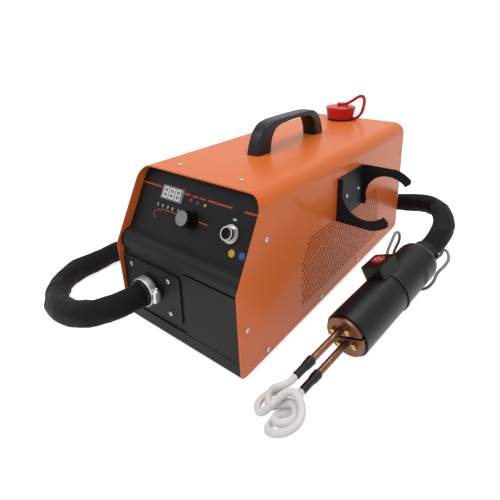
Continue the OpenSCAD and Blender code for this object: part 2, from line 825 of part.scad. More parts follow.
can_pitch = inner_len / 5;
can_r = can_pitch * 0.38;
can_h = 44;
can_edge = 1.5;
can_at = [8, 120];
module capacitors() {
    color("#2b3f63") from_front() for (i = [0:4]) translate([can_at[0], can_at[1] + i * can_pitch,
        inner_z]) union() {
        cylinder(r = can_r, h = can_h);
        translate([0, 0, can_h]) cylinder(r1 = can_r, r2 = can_r - can_edge, h = can_edge);
    }
}
module transformer() {
    color("#a4603a") from_front() translate([half_w - 50, 200, inner_z]) union() {
        translate([0, 0, 17]) rotate_extrude() translate([17, 0]) rounded(13, 28, 5);
        translate([-10, -10, 0]) cube([20, 20, 40]);
        cylinder(r = 26, h = 18);
    }
}
module pump() {
    color("#3a3d42") from_front() translate([half_w - 55, body_len - 120, sheet]) union() {
        translate([-20, 5, 0]) cube([40, 60, 6]);
        translate([0, 0, 28]) rotate([-90, 0, 0]) cylinder(r = 22.5, h = 60);
        translate([0, -12, 28]) rotate([-90, 0, 0]) cylinder(r = 17, h = 14);
        translate([0, 30, 45]) cylinder(r = 7, h = 20);
        translate([0, -4, 40]) cylinder(r = 6, h = 18);
    }
}

// Holder on the right side: back plate with an open-topped hook in front and
// the same hook upside down behind
module hook() {
    h = holder_z[1] - holder_z[0];
    cy = hook_band + hook_r;
    difference() {
        union() {
            square([8, h]);
            intersection() {
                square([holder_reach, h]);
                union() {
                    translate([hook_x, cy]) circle(hook_r + hook_band + 1);
                    square([hook_x, h * 0.6]);
                }
            }
        }
        translate([hook_x, cy]) circle(hook_r);
        polygon([[hook_x, cy], [hook_x + 44, cy - 39], [hook_x + 60, h + over], [8, h + over], [8, cy]]);
        difference() {
            translate([-over, -over]) square([7, 7]);
            translate([6, 6]) circle(6);
        }
    }
}
module holder() {
    w = holder_y[1] - holder_y[0];
    h = holder_z[1] - holder_z[0];
    color("#222224") from_front() translate([half_w, holder_y[0], holder_z[0]]) union() {
        difference() {
            cube([holder_t, w, h]);
            for (q = holder_screws) translate([-over, q[0] - holder_y[0], q[1] - holder_z[0]])
                out_right() cylinder(r = screw_r + 0.4, h = holder_t + 2 * over);
        }
        translate([0, holder_t, 0]) rotate([90, 0, 0]) linear_extrude(holder_t) hook();
        translate([0, w, h]) rotate([-90, 0, 0]) mirror([0, 0, 1]) linear_extrude(holder_t) hook();
    }
}
module holder_bolts() {
    color("#bfc1c4") from_front() for (q = holder_screws)
        translate([half_w + holder_t, q[0], q[1]]) out_right() screw(holder_t - 0.1);
}

// Hose inlet on the hose plate
module hose_inlet() {
    color("#2c2c2e") from_front() translate([hose_at[0], low_y - plate_t, hose_at[1]]) out_front()
        difference() {
        union() {
            translate([0, 0, -plate_t - 6]) cylinder(r = collar_r - 1.2, h = plate_t + 7);
            cylinder(r = hose_d / 2 - 0.4, h = stub_len);
            cylinder(r = hose_d / 2 + 2.5, h = 2);
        }
        translate([0, 0, -plate_t - 7]) cylinder(r = 11, h = stub_len + 2);
    }
}
module clamp_band() {
    r = hose_d / 2 - 0.4;
    color("#c2c4c7") from_front() translate([hose_at[0], low_y - plate_t - 3.5, hose_at[1]])
        out_front() difference() {
        union() {
            cylinder(r = r + band_t, h = band_w);
            translate([r - 4, -7, 0]) cube([12, 14, band_w]);
        }
        translate([0, 0, -over]) cylinder(r = r + 0.05, h = band_w + 2 * over);
        translate([r + band_t, -4, -over]) cube([5, 8, 2.5]);
    }
}

// The hose's route over the ground, counted from the kink, as seen in the photo
hose_low = hose_d / 2 - foot_h + 0.1;
hose_start_y = low_y - plate_t - stub_len;
hose_ctrl = [
    [hose_at[0], hose_start_y, hose_at[1]], [-49, -26, 57], [-58, -42, 53], [-79, -60, 46],
    [-112, -68, 37], [-140, -64, 29], [-166, -57, 20], [-192, -46, 13], [-216, -32, 9],
    [-236, -10, 7], [-246, 18, hose_low], [-247, 60, hose_low], [-244, 130, hose_low],
    [-238, 210, hose_low], [-233, 290, hose_low], [-229, 370, hose_low], [-214, 440, hose_low],
    [-176, 500, hose_low], [-112, 534, hose_low + 0.5], [-40, 535, 9], [20, 519, 16],
    [66, 502, 28], [104, 492, 42], [142, 484, 51], [172, 464, 56], [190, 432, 58],
    [200, 398, 56], [203, 362, 52]];

module tool_shell() {
    color("#333335") in_tool() difference() {
        tool_axis(0) rotate_extrude() union() {
            square([tool_r, tool_len]);
            intersection() {
                translate([tool_r - shoulder_r, tool_len]) circle(shoulder_r);
                translate([0, tool_len]) square([tool_r, shoulder_r - 2]);
            }
            square([tool_r - shoulder_r, tool_len + shoulder_r - 2]);
        }
        tool_axis(-over) cylinder(r = tool_r - tool_wall, h = block_t - block_out + over);
    }
}
tool_rear = tool_len + shoulder_r - 2;
boss_at = [0, tool_rear + collar_len / 2, -4];
module tool_collar() {
    color("#262628") in_tool() union() {
        tool_axis(tool_rear) cylinder(r = collar_r + 1, h = collar_len);
        translate([collar_r - 1, boss_at[1], boss_at[2]]) rotate([0, 90, 0]) cylinder(r = 3.6, h = 5);
    }
}
module half_block(side) {
    color("#a4694c") in_tool() difference() {
        tool_axis(-block_out) cylinder(r = block_r, h = block_t);
        translate([-tool_r, -block_out - over, side > 0 ? -tool_r : -block_gap / 2])
            cube([tool_d, block_t + 2 * over, tool_r + block_gap / 2]);
        tool_axis(-block_out - over) translate([tube_c, -side * tube_n, 0])
            cylinder(d = tube_d, h = tube_in + block_out + over);
        for (s = [-1, 1]) tool_axis(-block_out - over) translate([s * nut_c, -side * nut_n, 0])
            cylinder(r = 2, h = 12);
    }
}
module tool_bolts() {
    color("#c8ab62") in_tool() for (i = [-1, 1]) for (j = [-1, 1])
        tool_axis(-block_out - nut_h) translate([i * nut_c, j * nut_n, 0]) union() {
            difference() {
                cylinder(r = nut_r, h = nut_h, $fn = 6);
                translate([-nut_r, -0.5, -over]) cube([2 * nut_r, 1, 1 + over]);
            }
            cylinder(r = 2, h = nut_h + 10);
        }
}
module coil_tubes() {
    color("#b1745a") in_tool() for (s = [-1, 1])
        tool_axis(-tube_out) translate([tube_c, s * tube_n, 0]) cylinder(d = tube_d, h = tube_out + tube_in);
}

module button_place() {
    in_tool() translate([0, button_t, box_top]) children();
}
module switch_box() {
    l = box_t[1] - box_t[0];
    color("#2e2e30") in_tool() difference() {
        translate([-box_w / 2, box_t[0], tool_r - 8]) linear_extrude(box_top - tool_r + 8)
            rounded(box_w, l, box_r);
        tool_axis(box_t[0] - over) cylinder(r = tool_r + 0.02, h = l + 2 * over);
        translate([-box_w, box_t[0], box_top + 0.1]) rotate([90 - atan2(box_slope, box_top - tool_r), 0, 0])
            translate([0, -tool_d, 0]) cube([2 * box_w, tool_d, 20]);
        translate([0, button_t, tool_r + 3]) cylinder(d = button_d + 2 * run, h = tool_d);
        tie_space(0.15);
    }
}
module tie_space(gap) {
    tool_axis(box_t[0] + 16 - tie_w / 2 - gap) difference() {
        cylinder(r = tool_r + tie_t + gap, h = tie_w + 2 * gap);
        translate([0, 0, -over]) cylinder(r = tool_r + 0.02, h = tie_w + 4 * over);
    }
}
module zip_tie() {
    color("#141416") in_tool() union() {
        tie_space(0);
        difference() {
            translate([-tool_r - 5, box_t[0] + 16 - tie_w, -3]) cube([5, 2 * tie_w, 6]);
            tool_axis(box_t[0]) cylinder(r = tool_r + 0.02, h = 40);
        }
    }
}
module start_button() {
    stem = button_guide + button_travel;
    color("#b8282b") button_place() difference() {
        union() {
            translate([0, 0, -stem]) cylinder(d = button_d, h = stem + button_out - button_edge);
            translate([0, 0, button_out - button_edge])
                cylinder(d1 = button_d, d2 = button_d - 2.4 * button_edge, h = button_edge);
        }
        translate([0, 0, button_out + dish_r - dish_deep]) sphere(r = dish_r);
    }
}

// Shrink sleeves from the tubes' ends to the coil
module shrink_sleeves() {
    color("#161618") in_tool() for (s = [-1, 1]) translate([tube_c, 0, s * tube_n]) union() {
        tool_axis(shrink_at - shrink_thick) difference() {
            cylinder(d = tube_d + 3, h = shrink_thick);
            translate([0, 0, shrink_thick - tube_out - shrink_at]) cylinder(d = tube_d + 0.04,
                h = shrink_thick);
        }
        tool_axis(coil_at) cylinder(d = sleeve_d + 1, h = shrink_at - shrink_thick - coil_at);
    }
}

// The coil: two turns round each of two lobes, as a figure of eight. Each turn
// is an arc: centre across and along, radius, first and last angle, heights.
coil_arcs = [
    [-4.9, -116, 9, 78, 300, [11.9, 11.7, 5.2, 3.6]],
    [16.5, -125, 12.4, 118, -190, [6.4, -1.1, 2.5, -1.1]],
    [-5.6, -120.5, 17.9, 0, 300, [-7.2, 3.6, 6.6, 6]],
    [19, -127.6, 21, 115, -195, [20.5, 0, 2, -9.5]]];
coil_steps = 22;
function arc_points(a) = [for (i = [0:coil_steps])
    let (s = i / coil_steps, u = lerp(a[3], a[4], s), h = min(2.999, s * 3), k = floor(h))
    [a[0] + a[2] * cos(u), a[1] + a[2] * sin(u), lerp(a[5][k], a[5][k + 1], h - k)]];
function smooth(p, n) = n == 0 ? p : smooth(concat([p[0], p[1]],
    [for (i = [2:len(p) - 3]) (p[i - 1] + 2 * p[i] + p[i + 1]) / 4],
    [p[len(p) - 2], p[len(p) - 1]]), n - 1);
coil_rings = 112;
coil_ends = [[tube_c, coil_at, tube_n], [tube_c, coil_at - sleeve_d, tube_n],
    [tube_c, coil_at - sleeve_d, -tube_n], [tube_c, coil_at, -tube_n]];
coil_path = even(smooth(concat([coil_ends[0], coil_ends[1]],
    [for (a = coil_arcs) each arc_points(a)], [coil_ends[2], coil_ends[3]]), 4), coil_rings);
module coil() {
    color("#dcdcda") in_tool() tube(coil_path, sleeve_d / 2, 6, [0, -1, 0], [0, 1, 0]);
}

// Least gap between parts of the coil that lie over three diameters apart along it
function coil_gap() =
    let (p = even(coil_path, 220), l = lengths(p))
    min([for (i = [0:len(p) - 1]) for (j = [i + 1:len(p) - 1])
        if (l[j] - l[i] > 3 * sleeve_d) norm(p[i] - p[j])]) - sleeve_d;
echo(coil_gap = coil_gap(), coil_length = lengths(coil_path)[coil_rings]);

hose_rings = 36;
tool_dir = [sin(tool_turn) * cos(tool_pitch), cos(tool_turn) * cos(tool_pitch), sin(tool_pitch)];
hose_path = even(spline(concat(hose_ctrl,
    [[tool_x, tool_y, tool_z] + (tool_rear + collar_len) * tool_dir]), 5), hose_rings);
echo(hose_length = lengths(hose_path)[hose_rings]);
module hose() {
    color("#1e1e20") from_front() tube(hose_path, hose_d / 2, 12, [0, -1, 0], -tool_dir);
}

cable_d = 4;
cable_ctrl = [[0, box_t[1], 36], [-1, 127, 42], [0, 143, 50], [1, 156, 55], [-3, 167, 49],
    [-13, 173, 35], [-29, 170, 17], [-33, 164, -3], [-27, 158, -20], [-10, 155, -31], [10, 153, -31],
    [26, 154, -22], [36, 158, -10], [46, 166, -3], [50, 174, 2], [46, 184, 7], [38, 191, 8],
    [31, boss_at[1] - 1, 2], [26, boss_at[1], -3], [collar_r + 4, boss_at[1], -4]];
cable_rings = 30;
cable_path = even(spline(cable_ctrl, 5), cable_rings);
module switch_cable() {
    color("#77797b") in_tool() tube(cable_path, cable_d / 2, 8, [0, 1, 0], [-1, 0, 0]);
}

// Node to build, or all

cover();
vent(1);  // vent_right
vent(-1);  // vent_left
base_tray();
feet();
front_panel();
hose_plate();
display_module();
display_digits();
knob();
knob_cap();
knob_shaft();
dial_pot();
control_socket();
socket_insert();
handle();
roof_screws();
side_screws();
plate_screws();
filler_neck();
coolant_tank();
filler_cap();
cap_strap();
rear_panel();
fan_frame();
fan_rotor();
fan_guard();
radiator();
mains_switch();
rocker();
cable_gland();
power_board();
heatsink();
capacitors();
transformer();
pump();
holder();
holder_bolts();
hose_inlet();
clamp_band();
hose();
tool_shell();
tool_collar();
half_block(1);  // upper_block
half_block(-1);  // lower_block
tool_bolts();
coil_tubes();
switch_box();
zip_tie();
start_button();
shrink_sleeves();
coil();
switch_cable();
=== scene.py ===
"""Looks for a portable induction heating machine, laid out as a Blender add-on.

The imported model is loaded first. Each operator below finishes one group of
pieces, and the panel in the 3D view's sidebar lists them in working order.
"""

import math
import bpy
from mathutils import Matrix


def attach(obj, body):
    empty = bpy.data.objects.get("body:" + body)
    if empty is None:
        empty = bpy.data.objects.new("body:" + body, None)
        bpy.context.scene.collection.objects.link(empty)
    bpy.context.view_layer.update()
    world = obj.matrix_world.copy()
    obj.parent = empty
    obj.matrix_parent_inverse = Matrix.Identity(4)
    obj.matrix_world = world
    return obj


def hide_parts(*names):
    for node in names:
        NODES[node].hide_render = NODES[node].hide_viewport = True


bl_info = {
    "name": "Induction Heater Looks",
    "version": (1, 0, 0),
    "blender": (4, 5, 0),
    "location": "3D View > Sidebar > Heater",
    "description": "Finishes, hose, coil and studio for the induction heating machine",
    "category": "Object",
}

import bpy
import numpy as np
from mathutils import Matrix, Vector

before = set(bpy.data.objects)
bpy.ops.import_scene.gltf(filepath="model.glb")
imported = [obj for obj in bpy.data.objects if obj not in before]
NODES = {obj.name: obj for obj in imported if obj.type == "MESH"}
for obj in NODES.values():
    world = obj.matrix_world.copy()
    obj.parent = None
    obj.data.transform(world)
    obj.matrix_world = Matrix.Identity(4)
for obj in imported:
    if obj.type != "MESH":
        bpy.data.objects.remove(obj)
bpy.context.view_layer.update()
MM = 0.001
FULL_TURN = 2 * math.pi
FRONT_WAY = (0, -1, 0)

# Sizes repeated from the part's source, in millimetres: the case, and its panel's slope.
BODY_LEN = 470.0
ROOF_Z = 201.0
KINK_H = 108.0
SETBACK = 49.0
RECESS = 12.0
FOOT_H = 12.0
SLOPE = math.atan2(ROOF_Z - KINK_H, SETBACK)

# The handpiece: radius, lean, turn and roll in degrees, and the place of its front end.
TOOL_R = 28.5
TOOL_PITCH, TOOL_TURN, TOOL_ROLL = 8.0, 8.4, 26.0
TOOL_LIFT = 0.4
TOOL_AT = (167.5, 118.0, -FOOT_H + TOOL_R * math.cos(math.radians(TOOL_PITCH)) + TOOL_LIFT)
COLLAR_END = 202.0

# The hose: its diameter, and its route over the ground, counted from the front kink.
HOSE_D = 35.0
HOSE_AT = (-47.5, 57.5)
HOSE_LIFT = 0.1
HOSE_LOW = HOSE_D / 2 - FOOT_H + HOSE_LIFT
HOSE_POINTS = [
    (-47.5, -12, 57.5), (-49, -26, 57), (-58, -42, 53), (-79, -60, 46),
    (-112, -68, 37), (-140, -64, 29), (-166, -57, 20), (-192, -46, 13), (-216, -32, 9),
    (-236, -10, 7), (-246, 18, HOSE_LOW), (-247, 60, HOSE_LOW), (-244, 130, HOSE_LOW),
    (-238, 210, HOSE_LOW), (-233, 290, HOSE_LOW), (-229, 370, HOSE_LOW), (-214, 440, HOSE_LOW),
    (-176, 500, HOSE_LOW), (-112, 534, HOSE_LOW + 0.5), (-40, 535, 9), (20, 519, 16),
    (66, 502, 28), (104, 492, 42), (142, 484, 51), (172, 464, 56), (190, 432, 58),
    (200, 398, 56), (203, 362, 52)]
HOSE_STEPS, HOSE_RINGS = 12, 260
# The sleeve on it, in metres: how far it stays inside the hose's size, and its grip at both ends.
SLEEVE_INSET, GRIP_DEPTH, GRIP_REACH = 0.0016, 0.0010, 0.02
# Trains of folds: radians a metre along the hose, waves round it, phase and share of the height.
FOLDS = ((64, 1, 0.4, 1.0), (101, -2, 2.2, 0.7), (33, 2, 4.1, 0.9), (149, 1, 1.1, 0.45),
         (212, -3, 5.2, 0.3))
FOLD_DRIFT, FOLD_DRIFT_SHARE, FOLD_LEVEL = 1.4, 0.41, 0.9
# Pleats where the hose bends: radians a metre, their drift, their depth in fold heights, and the
# points over which a bend's sharpness is averaged.
PLEATS, PLEAT_DRIFT, PLEAT_DEPTH, BEND_POINTS = 230, 1.5, 5, 9

# The switch cable, in handpiece millimetres.
CABLE_D = 4.0
CABLE_POINTS = [
    (0, 118, 36), (-1, 127, 42), (0, 143, 50), (1, 156, 55), (-3, 167, 49), (-13, 173, 35),
    (-29, 170, 17), (-33, 164, -3), (-27, 158, -20), (-10, 155, -31), (10, 153, -31),
    (26, 154, -22), (36, 158, -10), (46, 166, -3), (50, 174, 2), (46, 184, 7), (38, 191, 8),
    (31, 195, 2), (26, 196, -3), (21.5, 196, -4)]
CABLE_STEPS, CABLE_RINGS, CABLE_SIDES = 10, 110, 20

# The coil in handpiece millimetres: each arc has its centre, radius, two angles and four heights.
SLEEVE_D = 7.7
TUBE_C, TUBE_N, COIL_AT = -3.0, 8.7, -86.0
COIL_ARCS = [
    (-4.9, -116, 9, 78, 300, (11.9, 11.7, 5.2, 3.6)),
    (16.5, -125, 12.4, 118, -190, (6.4, -1.1, 2.5, -1.1)),
    (-5.6, -120.5, 17.9, 0, 300, (-7.2, 3.6, 6.6, 6)),
    (19, -127.6, 21, 115, -195, (20.5, 0, 2, -9.5))]
COIL_STEPS, COIL_PASSES, COIL_COARSE, COIL_FINE = 22, 4, 112, 6
COIL_RINGS, COIL_SIDES = 620, 28
# The braid's unevenness, as a share of its radius, and its waves in radians a metre.
BRAID_SWELL, BRAID_TWIST, BRAID_LUMPS = 0.012, 900, 300

# Shrink sleeve on each copper tube: (along the handpiece, radius), from the tube to the coil.
SHRINK_LINE = [
    (-57, 4.1), (-57.2, 5.2), (-58, 5.5), (-60, 5.55), (-63, 5.45), (-66, 5.3), (-68, 5.1), (-69.5, 4.75),
    (-71, 4.5), (-74, 4.4), (-78, 4.35), (-82, 4.35), (-84.5, 4.35), (-85.8, 4.3), (-86.0, 4.05)]
SHRINK_RINGS, SHRINK_SIDES = 90, 40
# How much it strays from round and from its line, as shares, with its waves in radians a millimetre.
SHRINK_OVAL, SHRINK_TWIST, SHRINK_RIPPLE, SHRINK_PACE = 0.012, 0.5, 0.008, 1.7

# Filler cap and strap: the cap's axis, and the strap's line as (outwards, up) from its base.
CAP_AT = (-12.0, 441.0)
CAP_LOW = 3.4
STRAP_TURN = 12.0
STRAP_LINE = [(8, 25.2), (12, 27), (22, 33), (32, 40), (38, 41.5), (42, 38), (43, 28), (39, 11),
              (32, 2.6), (27, -0.4), (22, -0.6)]
STRAP_STEPS, STRAP_RINGS = 8, 70
STRAP_HALF_W, STRAP_HALF_T = 2.9, 2.7

# Carrying handle: upper and lower outline as (along, up), and how much its top narrows.
HANDLE_Y, HANDLE_W, HANDLE_HALF_LEN = 244.5, 25.0, 89.5
HANDLE_OVER = [(0, 0), (5, 15), (13, 29), (25, 38.5), (41, 42), (60, 42.8), (89.5, 43), (119, 42.8),
               (138, 42), (154, 38.5), (166, 29), (174, 15), (179, 0)]
HANDLE_UNDER = [(31, 0), (32.5, 12), (36, 22), (43, 30), (54, 34.2), (70, 35.6), (89.5, 36), (109, 35.6),
                (125, 34.2), (136, 30), (143, 22), (146.5, 12), (148, 0)]
HANDLE_STEPS, HANDLE_SIDES, HANDLE_TAPER = 10, 56, 0.10

# Worm-drive clip: the band's radius, thickness, width and place; half sizes of the screw's
# housing; and the screw's head as (up, radius) with the swell of its six corners.
BAND_R, BAND_T, BAND_W, BAND_Y = 17.95, 1.5, 10.0, -2.5
HOUSING_OUT, HOUSING_T, HOUSING_W, HOUSING_H = 2.6, 3.6, 5.0, 7
SCREW_OUT, SCREW_CORNERS = 2.8, 0.05
CLIP_SIDES, BAND_RINGS, HOUSING_RINGS = 24, 121, 17
# How square a section is: the power that its sine and cosine are raised to, where 1 is round.
SQUARE, SQUARER = 0.4, 0.3
SCREW_HEAD = [(5, 2.2), (6.5, 3.2), (10.4, 3.2), (11, 2.8), (11, 1.2), (9.6, 1.1)]

# Start button: its place along the handpiece, its top, and its dish, part of a ball's surface.
BUTTON_T = 101.0
BOX_ABOVE, BUTTON_PROUD = 14.0, 2.6
BUTTON_TOP = TOOL_R + BOX_ABOVE + BUTTON_PROUD
BUTTON_DISH, DISH_DEPTH = 22.0, 0.6
RING_R, RING_FROM, RING_TO, RING_POINTS = 4.0, 125, 415, 49
BAR_FROM, BAR_TO, BAR_POINTS = 1.2, 5.4, 9
STROKE_HALF, STROKE_SINK, STROKE_RISE = 0.5, -0.05, 0.12

# Marks printed on the control panel, as (across, up the slope), with each line's width.
LINE_UP, LINE_W = 83.2, 2.1
LINE_SPANS = ((-97, -62), (-21, -10), (-6.4, 2.9), (5.6, 15), (18.3, 55), (73, 93.3))
POINTER, POINTER_W = [(13.6, 56.8), (27.8, 56.3)], 1.4
SCALE_POINTS = [(-58.4, 44.4), (-62.7, 49.8), (-57, 54.4), (-48.5, 56.5), (-36, 57), (-24.8, 56.7)]
SCALE_STEPS, SCALE_W = 6, 1.0
TICKS_AT, TICK_LOW, TICK_HIGH, TICK_W = (-59.5, -50.7, -41.3, -33.1, -23), 59.2, 63.0, 1.6
SYMBOL, SYMBOL_W = [(60.5, 72), (65.5, 72)], 2.4
LIGHT_R, YELLOW_R, BLUE_R = 1.9, 4.2, 4.0
RED_LIGHT, YELLOW_LIGHT, BLUE_LIGHT = (-7.5, 78), (16, 77), (3.7, 77)
YELLOW_SPOT, BLUE_SPOT = (70.5, 37), (84.7, 38)
SPOT_SIDES = 28

# Studio: half the floor's side and the softboxes (place, side and power), in metres and watts.
FLOOR_HALF = 9.0
AIM = (0, 0, 0.1)
# Strengths of the floor's glow and of the world: as light on the object, and as backdrop, where
# 1 is white.
FLOOR_GLOW, WORLD_GLOW = (0.0, 0.8), (0.36, 1.0)
LAMPS = (("key", (-0.9, -1.3, 1.9), 1.1, 17), ("fill", (1.9, -0.8, 1.0), 1.2, 4),
         ("top", (0.2, 0.5, 2.2), 1.4, 22))
# The camera as calibrated on the photograph: frame, focal length and optical centre in pixels,
# its place in millimetres from the front kink, and its turn, tilt and roll in degrees.
FRAME_PX, FOCAL_PX, CENTRE_PX, SENSOR_MM = 500, 411.7, (258.2, 165.5), 36.0
CAMERA_AT, CAMERA_TURNED, CLIP_START = (332.5, -262.2, 358.5), (37.65, 17.83, -1.06), 0.02


def from_front(p):
    """Millimetres counted from the front kink, turned into metres in the row's frame."""
    p = np.asarray(p, float)
    return (p + [0.0, -BODY_LEN / 2, 0.0]) * MM


def turn(axis, degrees):
    """The 3 by 3 matrix that turns by an angle about one of the three axes."""
    c, s = math.cos(math.radians(degrees)), math.sin(math.radians(degrees))
    return {
        "x": np.array([[1, 0, 0], [0, c, -s], [0, s, c]]),
        "y": np.array([[c, 0, s], [0, 1, 0], [-s, 0, c]]),
        "z": np.array([[c, -s, 0], [s, c, 0], [0, 0, 1]]),
    }[axis]


TOOL_TURNED = turn("z", -TOOL_TURN) @ turn("x", TOOL_PITCH) @ turn("y", -TOOL_ROLL)
TOOL_AXIS = TOOL_TURNED @ np.array([0.0, 1.0, 0.0])


def in_tool(p):
    """Handpiece millimetres (across, along, towards the switch) as metres in the row's frame."""
    return from_front(np.asarray(p, float) @ TOOL_TURNED.T + np.array(TOOL_AT))


def on_panel(across, up, out=0.0):
    """A point of the slanted control panel: across, up the slope and out of it."""
    across, up, out = np.broadcast_arrays(
        np.asarray(across, float), np.asarray(up, float), np.asarray(out, float))
    s, c = math.sin(SLOPE), math.cos(SLOPE)
    y = RECESS * s + up * c - out * s
    z = KINK_H - RECESS * c + up * s + out * c
    return from_front(np.stack([across, y, z], -1))


def spline(q, steps):
    """Catmull-Rom curve through the points q: between b and c, half of
    2b + (c-a)s + (2a-5b+4c-d)s^2 + (3b-a-3c+d)s^3."""
    q = np.asarray(q, float)
    ext = np.vstack([q[:1], q, q[-1:]])
    s = (np.arange(steps) / steps)[None, :, None]
    a, b, c, d = (ext[i:len(q) - 1 + i][:, None, :] for i in range(4))
    pts = 0.5 * (2 * b + (c - a) * s + (2 * a - 5 * b + 4 * c - d) * s**2
                 + (3 * b - a - 3 * c + d) * s**3)
    return np.vstack([pts.reshape(-1, q.shape[1]), q[-1:]])


def even(p, n):
    """n + 1 points at even distances along the polyline p."""
    run = np.concatenate([[0.0], np.cumsum(np.linalg.norm(np.diff(p, axis=0), axis=1))])
    at = np.linspace(0.0, run[-1], n + 1)
    return np.stack([np.interp(at, run, p[:, i]) for i in range(p.shape[1])], -1)


def softened(p, times):
    """Each inner point becomes a quarter of its neighbours and half of itself, several times."""
    keep = 2
    for _ in range(times):
        q = p.copy()
        q[keep:-keep] = (p[keep - 1:-keep - 1] + 2 * p[keep:-keep] + p[keep + 1:len(p) - keep + 1]) / 4
        p = q
    return p


def path_length(p):
    """The length of a polyline, in its own unit."""
    return float(np.linalg.norm(np.diff(p, axis=0), axis=1).sum())


def frames(path, first=None, last=None, up=(0.0, 0.0, 1.0)):
    """Unit vectors along, beside and above a path; beside is along crossed with up."""
    t = np.gradient(path, axis=0)
    if first is not None:
        t[0] = first
    if last is not None:
        t[-1] = last
    t /= np.linalg.norm(t, axis=1)[:, None]
    side = np.cross(t, np.asarray(up, float))
    side /= np.linalg.norm(side, axis=1)[:, None]
    return t, side, np.cross(side, t)


def ring_angles(sides):
    """That many angles, evenly round a full turn."""
    return np.linspace(0, FULL_TURN, sides, endpoint=False)


def swept(path, radius, sides, first=None, last=None, up=(0.0, 0.0, 1.0)):
    """Tube: path + radius(s, a) (beside cos a + above sin a), a from 0 to a full turn."""
    _, side, over = frames(path, first, last, up)
    a = ring_angles(sides)
    r = np.broadcast_to(radius, (len(path), sides))[..., None]
    return path[:, None, :] + r * (side[:, None, :] * np.cos(a)[None, :, None]
                                   + over[:, None, :] * np.sin(a)[None, :, None])


def surface(name, grid, round_v=True, caps=(True, True), smooth=True, span=None):
    """A mesh from a grid of points, rows along u and columns along v. Rows close into rings
    where round_v is set, and end caps are fans to the ring's middle. The UV map holds metres
    along u and metres round v, so that a weave keeps its real scale. A closed form whose
    enclosed volume comes out negative is built again with its columns the other way round."""
    n, m = grid.shape[:2]
    verts = grid.reshape(-1, 3)
    cols = m if round_v else m - 1
    i, j = np.meshgrid(np.arange(n - 1), np.arange(cols), indexing="ij")
    k = (j + 1) % m
    quads = np.stack([i * m + j, i * m + k, (i + 1) * m + k, (i + 1) * m + j], -1).reshape(-1, 4)
    extra = []
    tris = []
    ring = np.arange(m)
    if round_v and caps[0]:
        extra.append(grid[0].mean(0))
        tris.append(np.stack([(ring + 1) % m, ring, np.full(m, n * m)], -1))
    if round_v and caps[1]:
        extra.append(grid[-1].mean(0))
        base = (n - 1) * m
        tris.append(np.stack([base + ring, base + (ring + 1) % m,
                              np.full(m, n * m + len(extra) - 1)], -1))
    if extra:
        verts = np.vstack([verts, extra])
    if round_v:
        corners = np.vstack([quads[:, [0, 1, 2]], quads[:, [0, 2, 3]]] + tris)
        p, q, r = (verts[corners[:, i]] - verts.mean(0) for i in range(3))
        if (p * np.cross(q, r)).sum() < 0:
            return surface(name, grid[:, ::-1], round_v, caps, smooth, span)
    faces = quads.tolist() + [t for block in tris for t in block.tolist()]
    mesh = bpy.data.meshes.new(name)
    mesh.from_pydata(verts.tolist(), [], faces)
    along = np.concatenate([[0.0], np.cumsum(np.linalg.norm(np.diff(grid.mean(1), axis=0), axis=1))])
    round_len = span if span else float(np.linalg.norm(np.diff(grid[0], axis=0), axis=1).sum())
    u_of = np.repeat(along, m)
    layer = mesh.uv_layers.new(name="UVMap")
    loops = np.zeros(len(mesh.loops), int)
    mesh.loops.foreach_get("vertex_index", loops)
    body = loops < n * m
    uv = np.zeros((len(loops), 2))
    uv[body, 0] = u_of[loops[body]]
    col = np.zeros(len(loops))
    col[: len(quads) * 4] = np.stack([j, j + 1, j + 1, j], -1).reshape(-1)
    uv[:, 1] = col / cols * round_len
    layer.data.foreach_set("uv", uv.reshape(-1).astype(np.float32))
    mesh.polygons.foreach_set("use_smooth", [smooth] * len(mesh.polygons))
    mesh.update()
    mesh.validate()
    piece = bpy.data.objects.new(name, mesh)
    bpy.context.scene.collection.objects.link(piece)
    return piece


def joined(name, pieces):
    """One mesh object out of several that belong together."""
    bpy.ops.object.select_all(action="DESELECT")
    for p in pieces:
        p.select_set(True)
    bpy.context.view_layer.objects.active = pieces[0]
    if len(pieces) > 1:
        bpy.ops.object.join()
    pieces[0].name = name
    return pieces[0]


def linear(code):
    """A #rrggbb colour as linear values, with full alpha."""
    v = [int(code[i:i + 2], 16) / 255 for i in (1, 3, 5)]
    return tuple(c / 12.92 if c <= 0.04045 else ((c + 0.055) / 1.055) ** 2.4 for c in v) + (1.0,)


def add(tree, kind, links=None, **settings):
    """Adds a node: settings are its properties, or its inputs where no property has that name;
    links joins its inputs to (node, output) pairs."""
    node = tree.nodes.new(kind)
    for key, value in settings.items():
        if hasattr(node, key):
            setattr(node, key, value)
        else:
            node.inputs[key.replace("_", " ")].default_value = value
    for key, (other, output) in (links or {}).items():
        tree.links.new(other.outputs[output], node.inputs[key])
    return node


def blank(name):
    """A new material with only its output, and the tree to fill."""
    mat = bpy.data.materials.new(name)
    mat.use_nodes = True
    mat.node_tree.nodes.clear()
    tree = mat.node_tree
    return mat, tree, tree.nodes.new("ShaderNodeOutputMaterial")


